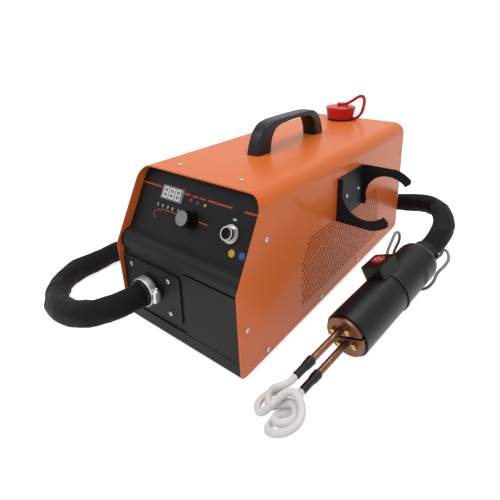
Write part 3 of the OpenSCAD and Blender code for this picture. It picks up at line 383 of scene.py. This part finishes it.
def finished(name, colour, second, drift_mm, rough, swing, grain_mm, depth_mm,
             metallic=0.0, coat=0.0, coat_rough=0.1, spec=0.5, detail=6.0):
    """A finish with slow colour drift, a fine grain that dents the surface, and a roughness
    that varies with it. Scales are in millimetres."""
    mat, tree, out = blank(name)
    where = add(tree, "ShaderNodeTexCoord")
    drift = add(tree, "ShaderNodeTexNoise", {"Vector": (where, "Object")}, Scale=1000.0 / drift_mm,
                Detail=3.0, Roughness=0.55)
    grain = add(tree, "ShaderNodeTexNoise", {"Vector": (where, "Object")}, Scale=1000.0 / grain_mm,
                Detail=detail, Roughness=0.6)
    mix = add(tree, "ShaderNodeMix", {0: (drift, "Fac")}, data_type="RGBA")
    mix.inputs[6].default_value = linear(colour)
    mix.inputs[7].default_value = linear(second)
    ruff = add(tree, "ShaderNodeMapRange", {"Value": (drift, "Fac")})
    ruff.inputs["To Min"].default_value = rough - swing
    ruff.inputs["To Max"].default_value = rough + swing
    bump = add(tree, "ShaderNodeBump", {"Height": (grain, "Fac")}, Strength=1.0,
               Distance=depth_mm * MM)
    shader = add(tree, "ShaderNodeBsdfPrincipled",
                 {"Base Color": (mix, 2), "Roughness": (ruff, "Result"), "Normal": (bump, "Normal")})
    shader.inputs["Metallic"].default_value = metallic
    shader.inputs["Coat Weight"].default_value = coat
    shader.inputs["Coat Roughness"].default_value = coat_rough
    shader.inputs["Specular IOR Level"].default_value = spec
    tree.links.new(shader.outputs["BSDF"], out.inputs["Surface"])
    return mat


def seen(tree, unseen, plain):
    """A strength that is plain for rays that show the backdrop, straight or through gloss and
    glass, and unseen for the rays that light the object."""
    rays = add(tree, "ShaderNodeLightPath")
    one = add(tree, "ShaderNodeMath", {0: (rays, "Is Camera Ray"), 1: (rays, "Is Glossy Ray")},
              operation="MAXIMUM")
    two = add(tree, "ShaderNodeMath", {0: (one, "Value"), 1: (rays, "Is Transmission Ray")},
              operation="MAXIMUM")
    level = add(tree, "ShaderNodeMath", {0: (two, "Value")}, operation="MULTIPLY_ADD")
    level.inputs[1].default_value = plain - unseen
    level.inputs[2].default_value = unseen
    return level


def woven(name, light, dark, pitch_mm, depth_mm, rough, sheen, spec):
    """A braided sleeve: two sets of threads slant round the tube, over and under each other,
    as the larger of |sin| of along plus round and |sin| of along minus round. The pattern
    reads the UV map, in metres along and round the tube."""
    cloud_mm, veil_share = 18.0, 0.35
    mat, tree, out = blank(name)
    where = add(tree, "ShaderNodeTexCoord")
    split = add(tree, "ShaderNodeSeparateXYZ", {"Vector": (where, "UV")})
    sums = []
    for sign in ("ADD", "SUBTRACT"):
        both = add(tree, "ShaderNodeMath", {0: (split, "X"), 1: (split, "Y")}, operation=sign)
        turns = add(tree, "ShaderNodeMath", {0: (both, "Value")}, operation="MULTIPLY")
        turns.inputs[1].default_value = math.pi * 1000.0 / pitch_mm
        wave = add(tree, "ShaderNodeMath", {0: (turns, "Value")}, operation="SINE")
        sums.append(add(tree, "ShaderNodeMath", {0: (wave, "Value")}, operation="ABSOLUTE"))
    over = add(tree, "ShaderNodeMath", {0: (sums[0], "Value"), 1: (sums[1], "Value")},
               operation="MAXIMUM")
    fuzz = add(tree, "ShaderNodeTexNoise", {"Vector": (where, "UV")}, Scale=1000.0 / cloud_mm, Detail=5.0)
    # Painted shade: the colour runs from the dark colour in the gaps between the threads to the light
    # colour on their crowns, following the threads' height.
    mix = add(tree, "ShaderNodeMix", {0: (over, "Value")}, data_type="RGBA")
    mix.inputs[6].default_value = linear(dark)
    mix.inputs[7].default_value = linear(light)
    veil = add(tree, "ShaderNodeMath", {0: (fuzz, "Fac")}, operation="MULTIPLY")
    veil.inputs[1].default_value = veil_share
    tint = add(tree, "ShaderNodeMix", {0: (veil, "Value"), 6: (mix, 2)}, data_type="RGBA")
    tint.inputs[7].default_value = linear(dark)
    height = add(tree, "ShaderNodeMath", {0: (over, "Value"), 1: (fuzz, "Fac")}, operation="ADD")
    bump = add(tree, "ShaderNodeBump", {"Height": (height, "Value")}, Strength=0.8,
               Distance=depth_mm * MM)
    shader = add(tree, "ShaderNodeBsdfPrincipled", {"Base Color": (tint, 2), "Normal": (bump, "Normal")})
    shader.inputs["Roughness"].default_value = rough
    shader.inputs["Sheen Weight"].default_value = sheen
    shader.inputs["Specular IOR Level"].default_value = spec
    tree.links.new(shader.outputs["BSDF"], out.inputs["Surface"])
    return mat


def paint(piece, mat):
    """Gives a piece or CAD node one material."""
    piece.data.materials.clear()
    piece.data.materials.append(mat)
    return piece


def paint_nodes(names, mat):
    """Gives several CAD nodes the same material."""
    for name in names:
        paint(NODES[name], mat)


def hex_prop(title, text, code):
    """A colour that a user may change, kept as linear values."""
    return bpy.props.FloatVectorProperty(name=title, description=text, subtype="COLOR", size=4,
                                         min=0.0, max=1.0, default=linear(code))


def orange_coat(code, code_deep):
    """Polyester powder coat on sheet steel: smooth and glossy, with the faint orange-peel waves
    that a baked powder leaves, 1.6 mm from crest to crest, and a slow drift in its shade."""
    return finished("orange_powder_coat", code, code_deep, 160, 0.36, 0.04, 1.6, 0.008,
                    coat=0.1, coat_rough=0.07, spec=0.18, detail=2.0)


def black_coat():
    """Fine-textured black powder coat: a tight sandy grain, 0.5 mm in the real one and drawn
    at 0.8 mm so that it shows, which breaks the highlight into a satin sheen."""
    return finished("black_textured_coat", "#19191b", "#131315", 90, 0.5, 0.06, 0.8, 0.02,
                    spec=0.16, detail=3.0)


def moulded(name, code, code_two, rough=0.42, grain=0.7, depth=0.02, coat=0.0):
    """Injection-moulded plastic: a spark-eroded grain under a low, soft sheen."""
    return finished(name, code, code_two, 60, rough, 0.06, grain, depth, coat=coat, spec=0.25)


def bright_metal(name, code, code_two, rough=0.24, grain=0.9, depth=0.006):
    """Plated or machined metal: clean reflections, blurred by fine tool marks."""
    return finished(name, code, code_two, 12, rough, 0.06, grain, depth, metallic=1.0)


def drawn_copper():
    """Drawn copper tube and plate, lightly oxidised: warm, with brown clouds 9 mm wide."""
    return finished("drawn_copper", "#8c6552", "#5f4032", 9, 0.38, 0.10, 0.6, 0.008, metallic=1.0)


def hose_route():
    """The hose's centreline in metres, from the inlet on the left to the handpiece's collar."""
    end = np.array(TOOL_AT) + COLLAR_END * TOOL_AXIS
    return from_front(even(spline(np.vstack([HOSE_POINTS, end]), HOSE_STEPS), HOSE_RINGS))


def cable_route():
    """The switch cable's centreline in metres, from the switch box to the collar's boss."""
    return in_tool(even(spline(CABLE_POINTS, CABLE_STEPS), CABLE_RINGS))


def coil_route():
    """The coil's centreline in handpiece millimetres: two turns round each of two lobes. Each
    arc point is centre + radius (cos a, sin a), with its height read between four values."""
    pts = [[TUBE_C, COIL_AT, TUBE_N], [TUBE_C, COIL_AT - SLEEVE_D, TUBE_N]]
    s = np.arange(COIL_STEPS + 1) / COIL_STEPS
    for c, t, r, a0, a1, heights in COIL_ARCS:
        a = np.radians(a0 + (a1 - a0) * s)
        h = np.interp(3 * s, [0, 1, 2, 3], heights)
        pts += np.stack([c + r * np.cos(a), t + r * np.sin(a), h], -1).tolist()
    pts += [[TUBE_C, COIL_AT - SLEEVE_D, -TUBE_N], [TUBE_C, COIL_AT, -TUBE_N]]
    coarse = even(softened(np.array(pts, float), COIL_PASSES), COIL_COARSE)
    return even(spline(coarse, COIL_FINE), COIL_RINGS)


def fold_heights(path, s, a):
    """The sleeve's folds, in fold heights, at lengths s along the hose and angles a round it.
    Each train adds share * ((1 + cos(along s + around a + phase + drift)) / 2)^3, and pleats
    pinch the inner side of each bend by its sharpness."""
    turning = np.gradient(np.gradient(path, axis=0), axis=0)
    tight = np.linalg.norm(turning, axis=1)
    inward = turning / np.maximum(tight, 1e-9)[:, None]
    tight = np.convolve(tight, np.ones(BEND_POINTS) / BEND_POINTS, "same")[:, None] / tight.max()
    _, side, over = frames(path, FRONT_WAY, -TOOL_AXIS)
    facing = ((side * inward).sum(1)[:, None] * np.cos(a)
              + (over * inward).sum(1)[:, None] * np.sin(a))
    creases = 0.0
    for along, around, phase, share in FOLDS:
        drift = FOLD_DRIFT * np.sin(FOLD_DRIFT_SHARE * along * s + 2 * a)
        wave = np.cos(along * s + around * a + phase + drift)
        creases = creases + share * (0.5 + 0.5 * wave) ** 3
    pleats = 0.5 + 0.5 * np.cos(PLEATS * s + PLEAT_DRIFT * np.sin(3 * a))
    pinched = np.clip(facing, 0, 1) ** 2 * tight * pleats
    return creases - FOLD_LEVEL - PLEAT_DEPTH * pinched


def squared(wave, angle, power=SQUARE):
    """A sine or cosine pushed towards a square wave: its sign times its size to that power."""
    return np.sign(wave(angle)) * np.abs(wave(angle)) ** power


def worm_clip():
    """Worm-drive clip on the hose inlet: a flat band carried round the hose's axis, whose ends
    meet inside a rounded housing, and the hexagonal head of its screw. Each section is a
    squared circle: (sign(cos v) |cos v|^0.4, sign(sin v) |sin v|^0.4)."""
    v = ring_angles(CLIP_SIDES)[None, :]
    x0, z0 = HOSE_AT
    a = np.linspace(0, FULL_TURN, BAND_RINGS)[:, None]
    reach = BAND_R + BAND_T / 2 * squared(np.cos, v)
    aside = BAND_Y + BAND_W / 2 * squared(np.sin, v) + 0 * a
    ring = np.stack([x0 + reach * np.cos(a), aside, z0 + reach * np.sin(a)], -1)
    band = surface("band", from_front(ring))
    t = np.linspace(-math.pi / 2, math.pi / 2, HOUSING_RINGS)[:, None]
    fill = np.abs(np.cos(t)) ** SQUARER
    box = np.stack([x0 + BAND_R + HOUSING_OUT + HOUSING_T * fill * squared(np.cos, v),
                    BAND_Y + HOUSING_W * fill * squared(np.sin, v),
                    z0 + HOUSING_H * squared(np.sin, t, SQUARER) + 0 * v], -1)
    housing = surface("housing", from_front(box))
    up, r = (column[:, None] for column in np.array(SCREW_HEAD, float).T)
    r = r * (1 + SCREW_CORNERS * np.cos(6 * v))
    head = surface("head", from_front(np.stack([
        x0 + BAND_R + SCREW_OUT + r * np.cos(v), BAND_Y + r * np.sin(v), z0 + up + 0 * v], -1)))
    return joined("worm_clip", [band, housing, head])


def power_stroke(name, line):
    """A printed stroke on the dished button: each point of the line carries a cross-section of
    four points, and stands above the dish, which is a ball's surface, by the print's height."""
    d = np.gradient(line, axis=0)
    d /= np.linalg.norm(d, axis=1)[:, None]
    beside = np.stack([-d[:, 1], d[:, 0]], -1) * STROKE_HALF
    flat = np.stack([line + beside, line + beside, line - beside, line - beside], 1)
    reach = np.linalg.norm(flat, axis=-1)
    dish = np.minimum(0.0, BUTTON_DISH - np.sqrt((BUTTON_DISH + DISH_DEPTH) ** 2 - reach ** 2))
    h = BUTTON_TOP + dish + np.array([STROKE_SINK, STROKE_RISE, STROKE_RISE, STROKE_SINK])
    return surface(name, in_tool(np.stack([flat[..., 0], flat[..., 1] + BUTTON_T, h], -1)), smooth=False)


def power_symbol():
    """The open ring and the upright bar on the start button."""
    a = np.radians(np.linspace(RING_FROM, RING_TO, RING_POINTS))
    ring = RING_R * np.stack([np.cos(a), np.sin(a)], -1)
    bar = np.stack([np.zeros(BAR_POINTS), np.linspace(BAR_FROM, BAR_TO, BAR_POINTS)], -1)
    return joined("button_symbol", [power_stroke("ring", ring), power_stroke("bar", bar)])


def shrink_pair():
    """Both shrink sleeves: each turns the line of radii round its tube, with faint waves
    round and along it, as heated tubing has."""
    t, r = np.array(SHRINK_LINE, float).T
    tt = np.linspace(t[0], t[-1], SHRINK_RINGS)
    rr = np.interp(-tt, -t, r)[:, None]
    a = ring_angles(SHRINK_SIDES)
    tt = tt[:, None]
    parts = []
    for sign in (1, -1):
        wob = (1 + SHRINK_OVAL * np.sin(2 * a + tt * SHRINK_TWIST + sign)
               + SHRINK_RIPPLE * np.sin(tt * SHRINK_PACE))
        grid = np.stack([TUBE_C + rr * wob * np.cos(a), np.broadcast_to(tt, wob.shape),
                         sign * TUBE_N + rr * wob * np.sin(a)], -1)
        parts.append(surface(f"shrink_{sign}", in_tool(grid)[:, ::-1]))
    return joined("shrink_sleeve_pair", parts)


def printed_strip(name, pts, width):
    """A flat band of that width along a line on the panel, with its ends square."""
    h = looks().mark_height / MM
    pts = np.asarray(pts, float)
    d = np.gradient(pts, axis=0)
    d /= np.linalg.norm(d, axis=1)[:, None]
    n = np.stack([-d[:, 1], d[:, 0]], -1) * width / 2
    ring = np.stack([pts + n, pts + n, pts - n, pts - n], 1)
    out = np.array([0.0, h, h, 0.0])
    return surface(name, on_panel(ring[..., 0], ring[..., 1], out[None, :]), smooth=False)


def printed_spot(centre, r):
    """A flat round spot on the panel: rings at the rim and near the middle."""
    h = looks().mark_height / MM
    a = ring_angles(SPOT_SIDES)
    rr = np.array([r, r, r * 0.5])[:, None]
    out = np.array([0.0, h, h])[:, None]
    grid = on_panel(centre[0] + rr * np.cos(a), centre[1] + rr * np.sin(a), out)
    return surface("spot", grid, smooth=False, caps=(False, True))


class HeaterLooks(bpy.types.PropertyGroup):
    """Sizes and colours of the finishes and the new pieces."""

    case_colour: hex_prop("Case", "Powder coat of the case", "#e2722f")
    case_deep: hex_prop("Case, deep", "Where the powder coat drifts darker", "#dc6a2a")
    cap_colour: hex_prop("Filler cap", "Moulded filler cap and its strap", "#cf2a30")
    sleeve_colour: hex_prop("Coil sleeve", "Glass-fibre sleeve on the coil", "#eeeeec")
    hose_sides: bpy.props.IntProperty(name="Hose sides", default=72, min=24, max=160,
                                      description="Points round the hose")
    wrinkle: bpy.props.FloatProperty(name="Sleeve wrinkle", default=0.0011, min=0.0, max=0.002,
                                     unit="LENGTH", description="Height of the hose sleeve's folds")
    mark_height: bpy.props.FloatProperty(name="Mark height", default=0.00015, min=0.00005, max=0.0005,
                                         unit="LENGTH", description="Height of the printed marks")


def looks():
    """The settings of the present scene."""
    return bpy.context.scene.heater_looks


def code_of(colour):
    """A linear colour property back as #rrggbb."""
    v = [c * 12.92 if c <= 0.0031308 else 1.055 * c ** (1 / 2.4) - 0.055 for c in colour[:3]]
    return "#" + "".join(f"{max(0, min(255, round(255 * c))):02x}" for c in v)


class HEATER_OT_hose(bpy.types.Operator):
    """Sleeved hose along its route on the ground, and the grey switch cable"""

    bl_idname = "heater.hose"
    bl_label = "Hose and switch cable"

    def execute(self, context):
        path = hose_route()
        s = np.linspace(0, path_length(path), len(path))[:, None]
        a = ring_angles(looks().hose_sides)[None, :]
        ends = np.exp(-(s / GRIP_REACH) ** 2) + np.exp(-((s[-1] - s) / GRIP_REACH) ** 2)
        radius = (HOSE_D / 2 * MM - SLEEVE_INSET + looks().wrinkle * fold_heights(path, s, a)
                  - GRIP_DEPTH * ends)
        tube = swept(path, radius, looks().hose_sides, FRONT_WAY, -TOOL_AXIS)
        hose = surface("hose_sleeve", tube, span=math.pi * HOSE_D * MM)
        # Braided nylon over the hose: soft black cloth, almost without sheen, with a visible weave whose
        # gaps are darkened with painted shade.
        paint(hose, woven("braided_nylon_sleeve", "#161617", "#0a0a0b", 2.6, 0.2, 0.72, 0.01, 0.12))
        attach(hose, "chassis")
        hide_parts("hose")
        tuple(path[0])
        cable = cable_route()
        tube = swept(cable, CABLE_D / 2 * MM, CABLE_SIDES, TOOL_TURNED @ [0, 1, 0],
                     TOOL_TURNED @ [-1, 0, 0], up=TOOL_TURNED @ [0, 0, 1])
        lead = surface("switch_lead", tube)
        # Extruded grey PVC: an even, dull sheath that shows soft streaks of light.
        paint(lead, moulded("grey_cable_sheath", "#8b8d8f", "#7e8082", 0.45, 0.5, 0.01))
        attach(lead, "chassis")
        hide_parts("switch_cable")
        tuple(cable[0])
        return {"FINISHED"}


class HEATER_OT_coil(bpy.types.Operator):
    """White braided sleeve over the figure-of-eight coil, and the shrink sleeves at its ends"""

    bl_idname = "heater.coil"
    bl_label = "Coil and shrink sleeves"

    def execute(self, context):
        path = in_tool(coil_route())
        s = np.linspace(0, path_length(path), len(path))[:, None]
        a = ring_angles(COIL_SIDES)[None, :]
        radius = SLEEVE_D / 2 * MM * (1 + BRAID_SWELL * np.sin(s * BRAID_TWIST + 3 * np.sin(2 * a))
                                      + BRAID_SWELL * np.sin(3 * a + s * BRAID_LUMPS))
        tube = swept(path, radius, COIL_SIDES, TOOL_TURNED @ [0, -1, 0], TOOL_TURNED @ [0, 1, 0],
                     up=TOOL_TURNED @ [0, 0, 1])
        coil = surface("coil_sleeve", tube, span=math.pi * SLEEVE_D * MM)
        # Braided glass fibre: chalky white, with painted shade in grey in the gaps of its fine weave.
        paint(coil, woven("glass_fibre_braid", code_of(looks().sleeve_colour), "#c6c6c3", 1.4, 0.15,
                          0.72, 0.05, 0.5))
        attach(coil, "chassis")
        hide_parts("coil")
        sleeves = shrink_pair()
        # Heat-shrunk polyolefin: black and satin, drawn tight over what it covers.
        paint(sleeves, moulded("shrunk_polyolefin", "#1c1c1e", "#141416", 0.40, 0.9, 0.015))
        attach(sleeves, "chassis")
        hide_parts("shrink_sleeves")
        return {"FINISHED"}


class HEATER_OT_case(bpy.types.Operator):
    """Finishes of the folded case, its panels, feet and screws"""

    bl_idname = "heater.case"
    bl_label = "Case and panels"

    def execute(self, context):
        orange = orange_coat(code_of(looks().case_colour), code_of(looks().case_deep))
        paint_nodes(("cover", "vent_right", "vent_left"), orange)
        paint_nodes(("front_panel", "hose_plate", "rear_panel", "holder", "base_tray"), black_coat())
        # Vulcanised rubber: the dullest black on the machine, because its skin scatters the light.
        rubber = moulded("moulded_rubber", "#131314", "#0f0f10", 0.62, 0.6, 0.03)
        paint_nodes(("feet", "tool_collar"), rubber)
        # Zinc-plated steel, from the barrel: pale, faintly clouded and half bright.
        zinc = bright_metal("zinc_plated_steel", "#c9c8c4", "#a9a8a4", 0.3)
        paint_nodes(("roof_screws", "side_screws", "plate_screws", "holder_bolts", "knob_shaft"), zinc)
        # Rolled stainless strip and wire: whiter than zinc, with a broad soft highlight.
        stainless = bright_metal("stainless_strip", "#dcdddd", "#c8caca", 0.46, 0.9, 0.003)
        paint(NODES["fan_guard"], stainless)
        clip = worm_clip()
        paint(clip, stainless)
        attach(clip, "chassis")
        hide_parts("clamp_band")
        return {"FINISHED"}


class HEATER_OT_inside(bpy.types.Operator):
    """Finishes of what shows through the vents and at the rear"""

    bl_idname = "heater.inside"
    bl_label = "Inner pieces and rear fittings"

    def execute(self, context):
        # Black nylon, injection-moulded with glass fibre: a grey-black with a fine even grain.
        paint_nodes(("fan_frame", "fan_rotor", "mains_switch", "cable_gland", "pump", "filler_neck",
                     "hose_inlet"), moulded("black_nylon", "#1b1b1d", "#161618", 0.45, 0.6, 0.02))
        # Polished red polycarbonate of the rocker: smooth, with a clear top gloss.
        paint(NODES["rocker"], moulded("red_rocker", "#b3262a", "#a52025", 0.28, 0.9, 0.006, 0.3))
        # Extruded aluminium: mill-grey, with a wide blurred sheen.
        metal = bright_metal("extruded_aluminium", "#9a9c9e", "#85878a", 0.42, 0.5, 0.02)
        paint_nodes(("radiator", "heatsink"), metal)
        # Glass-epoxy board under green solder mask: dark green and slightly glossy.
        board = finished("solder_masked_board", "#1f4a2c", "#173a22", 14, 0.35, 0.08, 1.8, 0.03)
        paint_nodes(("power_board", "dial_pot"), board)
        # Shrunk PVC sleeve of the capacitors: navy blue and smooth.
        paint(NODES["capacitors"], moulded("printed_sleeve", "#22345a", "#1b2a4b", 0.35, 1.2, 0.01))
        paint(NODES["transformer"], drawn_copper())
        # Blow-moulded polyethylene of the tank: milky white and waxy.
        paint(NODES["coolant_tank"], moulded("white_polyethylene", "#d9dcda", "#cdd1cf", 0.5, 1.2, 0.02))
        return {"FINISHED"}


class HEATER_OT_handpiece(bpy.types.Operator):
    """Finishes of the handpiece, its copper terminals, tubes and start button"""

    bl_idname = "heater.handpiece"
    bl_label = "Handpiece"

    def execute(self, context):
        # Moulded ABS with a fine grain: near black, with one soft band of light along its side.
        grip = finished("soft_black_abs", "#18181a", "#131315", 50, 0.38, 0.06, 0.9, 0.03, spec=0.22)
        paint_nodes(("tool_shell", "switch_box"), grip)
        paint_nodes(("coil_tubes", "upper_block", "lower_block"), drawn_copper())
        # Turned brass: pale gold and fairly bright.
        brass = bright_metal("machined_brass", "#cfb36a", "#b0914a", 0.26, 0.5, 0.006)
        paint(NODES["tool_bolts"], brass)
        # Moulded nylon of the tie: plain satin black.
        paint(NODES["zip_tie"], moulded("nylon_tie", "#161618", "#101012", 0.4))
        # Polished red plastic of the button: smooth, with a clear top gloss.
        paint(NODES["start_button"], moulded("red_button", "#c4262c", "#b01f26", 0.25, 0.9, 0.006, 0.4))
        sign = power_symbol()
        # Pad print: a thin, even white film.
        paint(sign, moulded("white_pad_print", "#f2dcdc", "#ead0d0", 0.4, 0.9, 0.004))
        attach(sign, "button")
        return {"FINISHED"}


class HEATER_OT_panel_marks(bpy.types.Operator):
    """Display, knob, socket and the printed marks of the control panel"""

    bl_idname = "heater.panel_marks"
    bl_label = "Control panel"

    def execute(self, context):
        arc = spline(SCALE_POINTS, SCALE_STEPS)
        red = [printed_strip("line", [(a, LINE_UP), (b, LINE_UP)], LINE_W) for a, b in LINE_SPANS]
        red += [printed_strip("pointer", POINTER, POINTER_W), printed_strip("scale", arc, SCALE_W),
                printed_spot(RED_LIGHT, LIGHT_R)]
        red_piece = joined("panel_red_marks", red)
        white = [printed_strip(f"tick{i}", [(x, TICK_LOW), (x, TICK_HIGH)], TICK_W)
                 for i, x in enumerate(TICKS_AT)]
        white_piece = joined("panel_white_marks", white + [printed_strip("symbol", SYMBOL, SYMBOL_W)])
        yellow_piece = joined("panel_yellow_marks", [printed_spot(YELLOW_LIGHT, LIGHT_R),
                                                     printed_spot(YELLOW_SPOT, YELLOW_R)])
        blue_piece = joined("panel_blue_marks", [printed_spot(BLUE_LIGHT, LIGHT_R),
                                                 printed_spot(BLUE_SPOT, BLUE_R)])
        # Screen-printed ink: flat colour with hardly any gloss, a little uneven.
        for piece, name, code, code_two in ((red_piece, "red_print", "#c4472e", "#b53e28"),
                                            (white_piece, "white_print", "#c9c9c7", "#bdbdbb"),
                                            (yellow_piece, "yellow_print", "#d3a72c", "#c79c24"),
                                            (blue_piece, "blue_print", "#3a63a8", "#33589a")):
            paint(piece, moulded(name, code, code_two, 0.5, 1.0, 0.004))
            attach(piece, "chassis")
        # Smoked acrylic window over the display: smooth grey under a clear gloss.
        window = moulded("display_window", "#85878e", "#7b7d84", 0.25, 2.0, 0.002, 0.3)
        paint(NODES["display_module"], window)
        # Diffusing segments: even white, as the light spreads inside them.
        paint(NODES["display_digits"], moulded("white_segments", "#f1efef", "#e6e2e2", 0.4, 1.0, 0.002))
        # Pressed phenolic resin: the blackest and smoothest of the plastics.
        phenolic = moulded("black_phenolic", "#0f0f10", "#0b0b0c", 0.32, 0.8, 0.008)
        paint_nodes(("knob", "socket_insert"), phenolic)
        # Moulded grey ABS disc on the knob: plain and satin.
        paint(NODES["knob_cap"], moulded("grey_cap", "#8d8d90", "#828286", 0.4, 0.7, 0.01))
        # Nickel plate on turned brass: bright, warm grey, with sharp reflections.
        nickel = bright_metal("nickel_plate", "#c6c4bf", "#aeaca7", 0.2, 0.6, 0.006)
        paint(NODES["control_socket"], nickel)
        return {"FINISHED"}


class HEATER_OT_roof(bpy.types.Operator):
    """Carrying handle, filler cap and the cap's strap"""

    bl_idname = "heater.roof"
    bl_label = "Handle and filler cap"

    def execute(self, context):
        over, under = spline(HANDLE_OVER, HANDLE_STEPS), spline(HANDLE_UNDER, HANDLE_STEPS)
        a = ring_angles(HANDLE_SIDES)
        wide, deep = squared(np.cos, a), squared(np.sin, a)
        middle, half = (over + under) / 2, (over - under) / 2
        lean = 1 - HANDLE_TAPER * (0.5 + 0.5 * deep)
        grid = np.stack([np.broadcast_to(HANDLE_W / 2 * wide * lean, (len(over), HANDLE_SIDES)),
                         HANDLE_Y - HANDLE_HALF_LEN + middle[:, :1] + half[:, :1] * deep,
                         ROOF_Z + middle[:, 1:] + half[:, 1:] * deep], -1)
        handle = surface("handle_moulding", from_front(grid))
        # Moulded glass-filled nylon: deep black, smoother than the panels, with rounded light.
        paint(handle, moulded("black_moulded_handle", "#161617", "#111112", 0.36, 0.9, 0.02))
        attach(handle, "chassis")
        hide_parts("handle")
        # Moulded polypropylene of cap and strap: strong red, slightly waxy.
        cap = moulded("red_polypropylene", code_of(looks().cap_colour), "#bb2026", 0.34, 0.9, 0.01, 0.2)
        paint_nodes(("filler_cap", "cap_strap"), cap)
        line = even(spline(STRAP_LINE, STRAP_STEPS), STRAP_RINGS)
        c, n = math.cos(math.radians(STRAP_TURN)), math.sin(math.radians(STRAP_TURN))
        path = from_front(np.stack([CAP_AT[0] + c * line[:, 0], CAP_AT[1] + n * line[:, 0],
                                    ROOF_Z + CAP_LOW + line[:, 1]], -1))
        section = np.stack([STRAP_HALF_W * MM * wide[::2], STRAP_HALF_T * MM * deep[::2]], -1)
        _, side, over = frames(path, up=(-n, c, 0.0))
        band = (path[:, None, :] + section[None, :, :1] * side[:, None, :]
                + section[None, :, 1:] * over[:, None, :])
        strap = surface("strap_moulding", band)
        paint(strap, cap)
        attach(strap, "strap")
        return {"FINISHED"}


class HEATER_OT_stage(bpy.types.Operator):
    """Pale floor, soft studio light and the camera at the photograph's view"""

    bl_idname = "heater.stage"
    bl_label = "Studio"

    def execute(self, context):
        scene = bpy.context.scene
        scene.view_settings.view_transform = "Standard"
        scene.view_settings.look = "None"
        g = np.linspace(-FLOOR_HALF, FLOOR_HALF, 3)
        x, y = np.meshgrid(g, g, indexing="ij")
        z = np.full_like(x, -FOOT_H * MM)
        floor = surface("floor", np.stack([x, y, z], -1), round_v=False, smooth=False)
        # Matt white board that also shows as white behind the machine, and keeps its shadow.
        mat, tree, out = blank("pale_floor")
        shader = add(tree, "ShaderNodeBsdfDiffuse")
        shader.inputs["Color"].default_value = linear("#f6f6f6")
        glow = add(tree, "ShaderNodeEmission", {"Strength": (seen(tree, *FLOOR_GLOW), "Value")})
        both = add(tree, "ShaderNodeAddShader", {0: (shader, "BSDF"), 1: (glow, "Emission")})
        tree.links.new(both.outputs[0], out.inputs["Surface"])
        paint(floor, mat)
        world = bpy.data.worlds.new("studio")
        world.use_nodes = True
        tree = world.node_tree
        tree.links.new(seen(tree, *WORLD_GLOW).outputs[0], tree.nodes["Background"].inputs["Strength"])
        tree.nodes["Background"].inputs["Color"].default_value = (1, 1, 1, 1)
        scene.world = world

        for name, at, side, power in LAMPS:
            data = bpy.data.lights.new(name, "AREA")
            data.shape = "SQUARE"
            data.size = side
            data.energy = power
            lamp = bpy.data.objects.new(name, data)
            scene.collection.objects.link(lamp)
            lamp.location = at
            lamp.rotation_euler = (Vector(AIM) - Vector(at)).to_track_quat("-Z", "Y").to_euler()
        cam = bpy.data.cameras.new("camera")
        cam.sensor_width = SENSOR_MM
        cam.lens = FOCAL_PX / FRAME_PX * SENSOR_MM
        cam.shift_x = (FRAME_PX / 2 - CENTRE_PX[0]) / FRAME_PX
        cam.shift_y = (CENTRE_PX[1] - FRAME_PX / 2) / FRAME_PX
        cam.clip_start = CLIP_START
        cam_obj = bpy.data.objects.new("camera", cam)
        scene.collection.objects.link(cam_obj)
        az, el, roll = (math.radians(v) for v in CAMERA_TURNED)
        forward = np.array([-math.sin(az) * math.cos(el), math.cos(az) * math.cos(el), -math.sin(el)])
        right = np.array([math.cos(az), math.sin(az), 0.0])
        above = np.cross(right, forward)
        rows = np.eye(4)
        rows[:3, 0] = right * math.cos(roll) + above * math.sin(roll)
        rows[:3, 1] = above * math.cos(roll) - right * math.sin(roll)
        rows[:3, 2] = -forward
        rows[:3, 3] = from_front(CAMERA_AT)
        cam_obj.matrix_world = Matrix(rows.tolist())
        scene.camera = cam_obj
        return {"FINISHED"}


STEPS = (HEATER_OT_stage, HEATER_OT_hose, HEATER_OT_coil, HEATER_OT_case, HEATER_OT_inside,
         HEATER_OT_handpiece, HEATER_OT_panel_marks, HEATER_OT_roof)


class HEATER_PT_looks(bpy.types.Panel):
    """Lists the steps in working order"""

    bl_idname = "HEATER_PT_looks"
    bl_label = "Induction heater"
    bl_space_type = "VIEW_3D"
    bl_region_type = "UI"
    bl_category = "Heater"

    def draw(self, context):
        for step in STEPS:
            self.layout.operator(step.bl_idname)


CLASSES = (HeaterLooks, *STEPS, HEATER_PT_looks)


def register():
    """Registers the classes and the scene's settings."""
    for cls in CLASSES:
        bpy.utils.register_class(cls)
    bpy.types.Scene.heater_looks = bpy.props.PointerProperty(type=HeaterLooks)


def unregister():
    """Takes the settings and the classes away again."""
    del bpy.types.Scene.heater_looks
    for cls in reversed(CLASSES):
        bpy.utils.unregister_class(cls)


def main():
    """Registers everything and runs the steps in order."""
    register()
    for step in STEPS:
        group, name = step.bl_idname.split(".")
        getattr(getattr(bpy.ops, group), name)()
    bpy.context.view_layer.update()


if __name__ == "__main__":
    main()
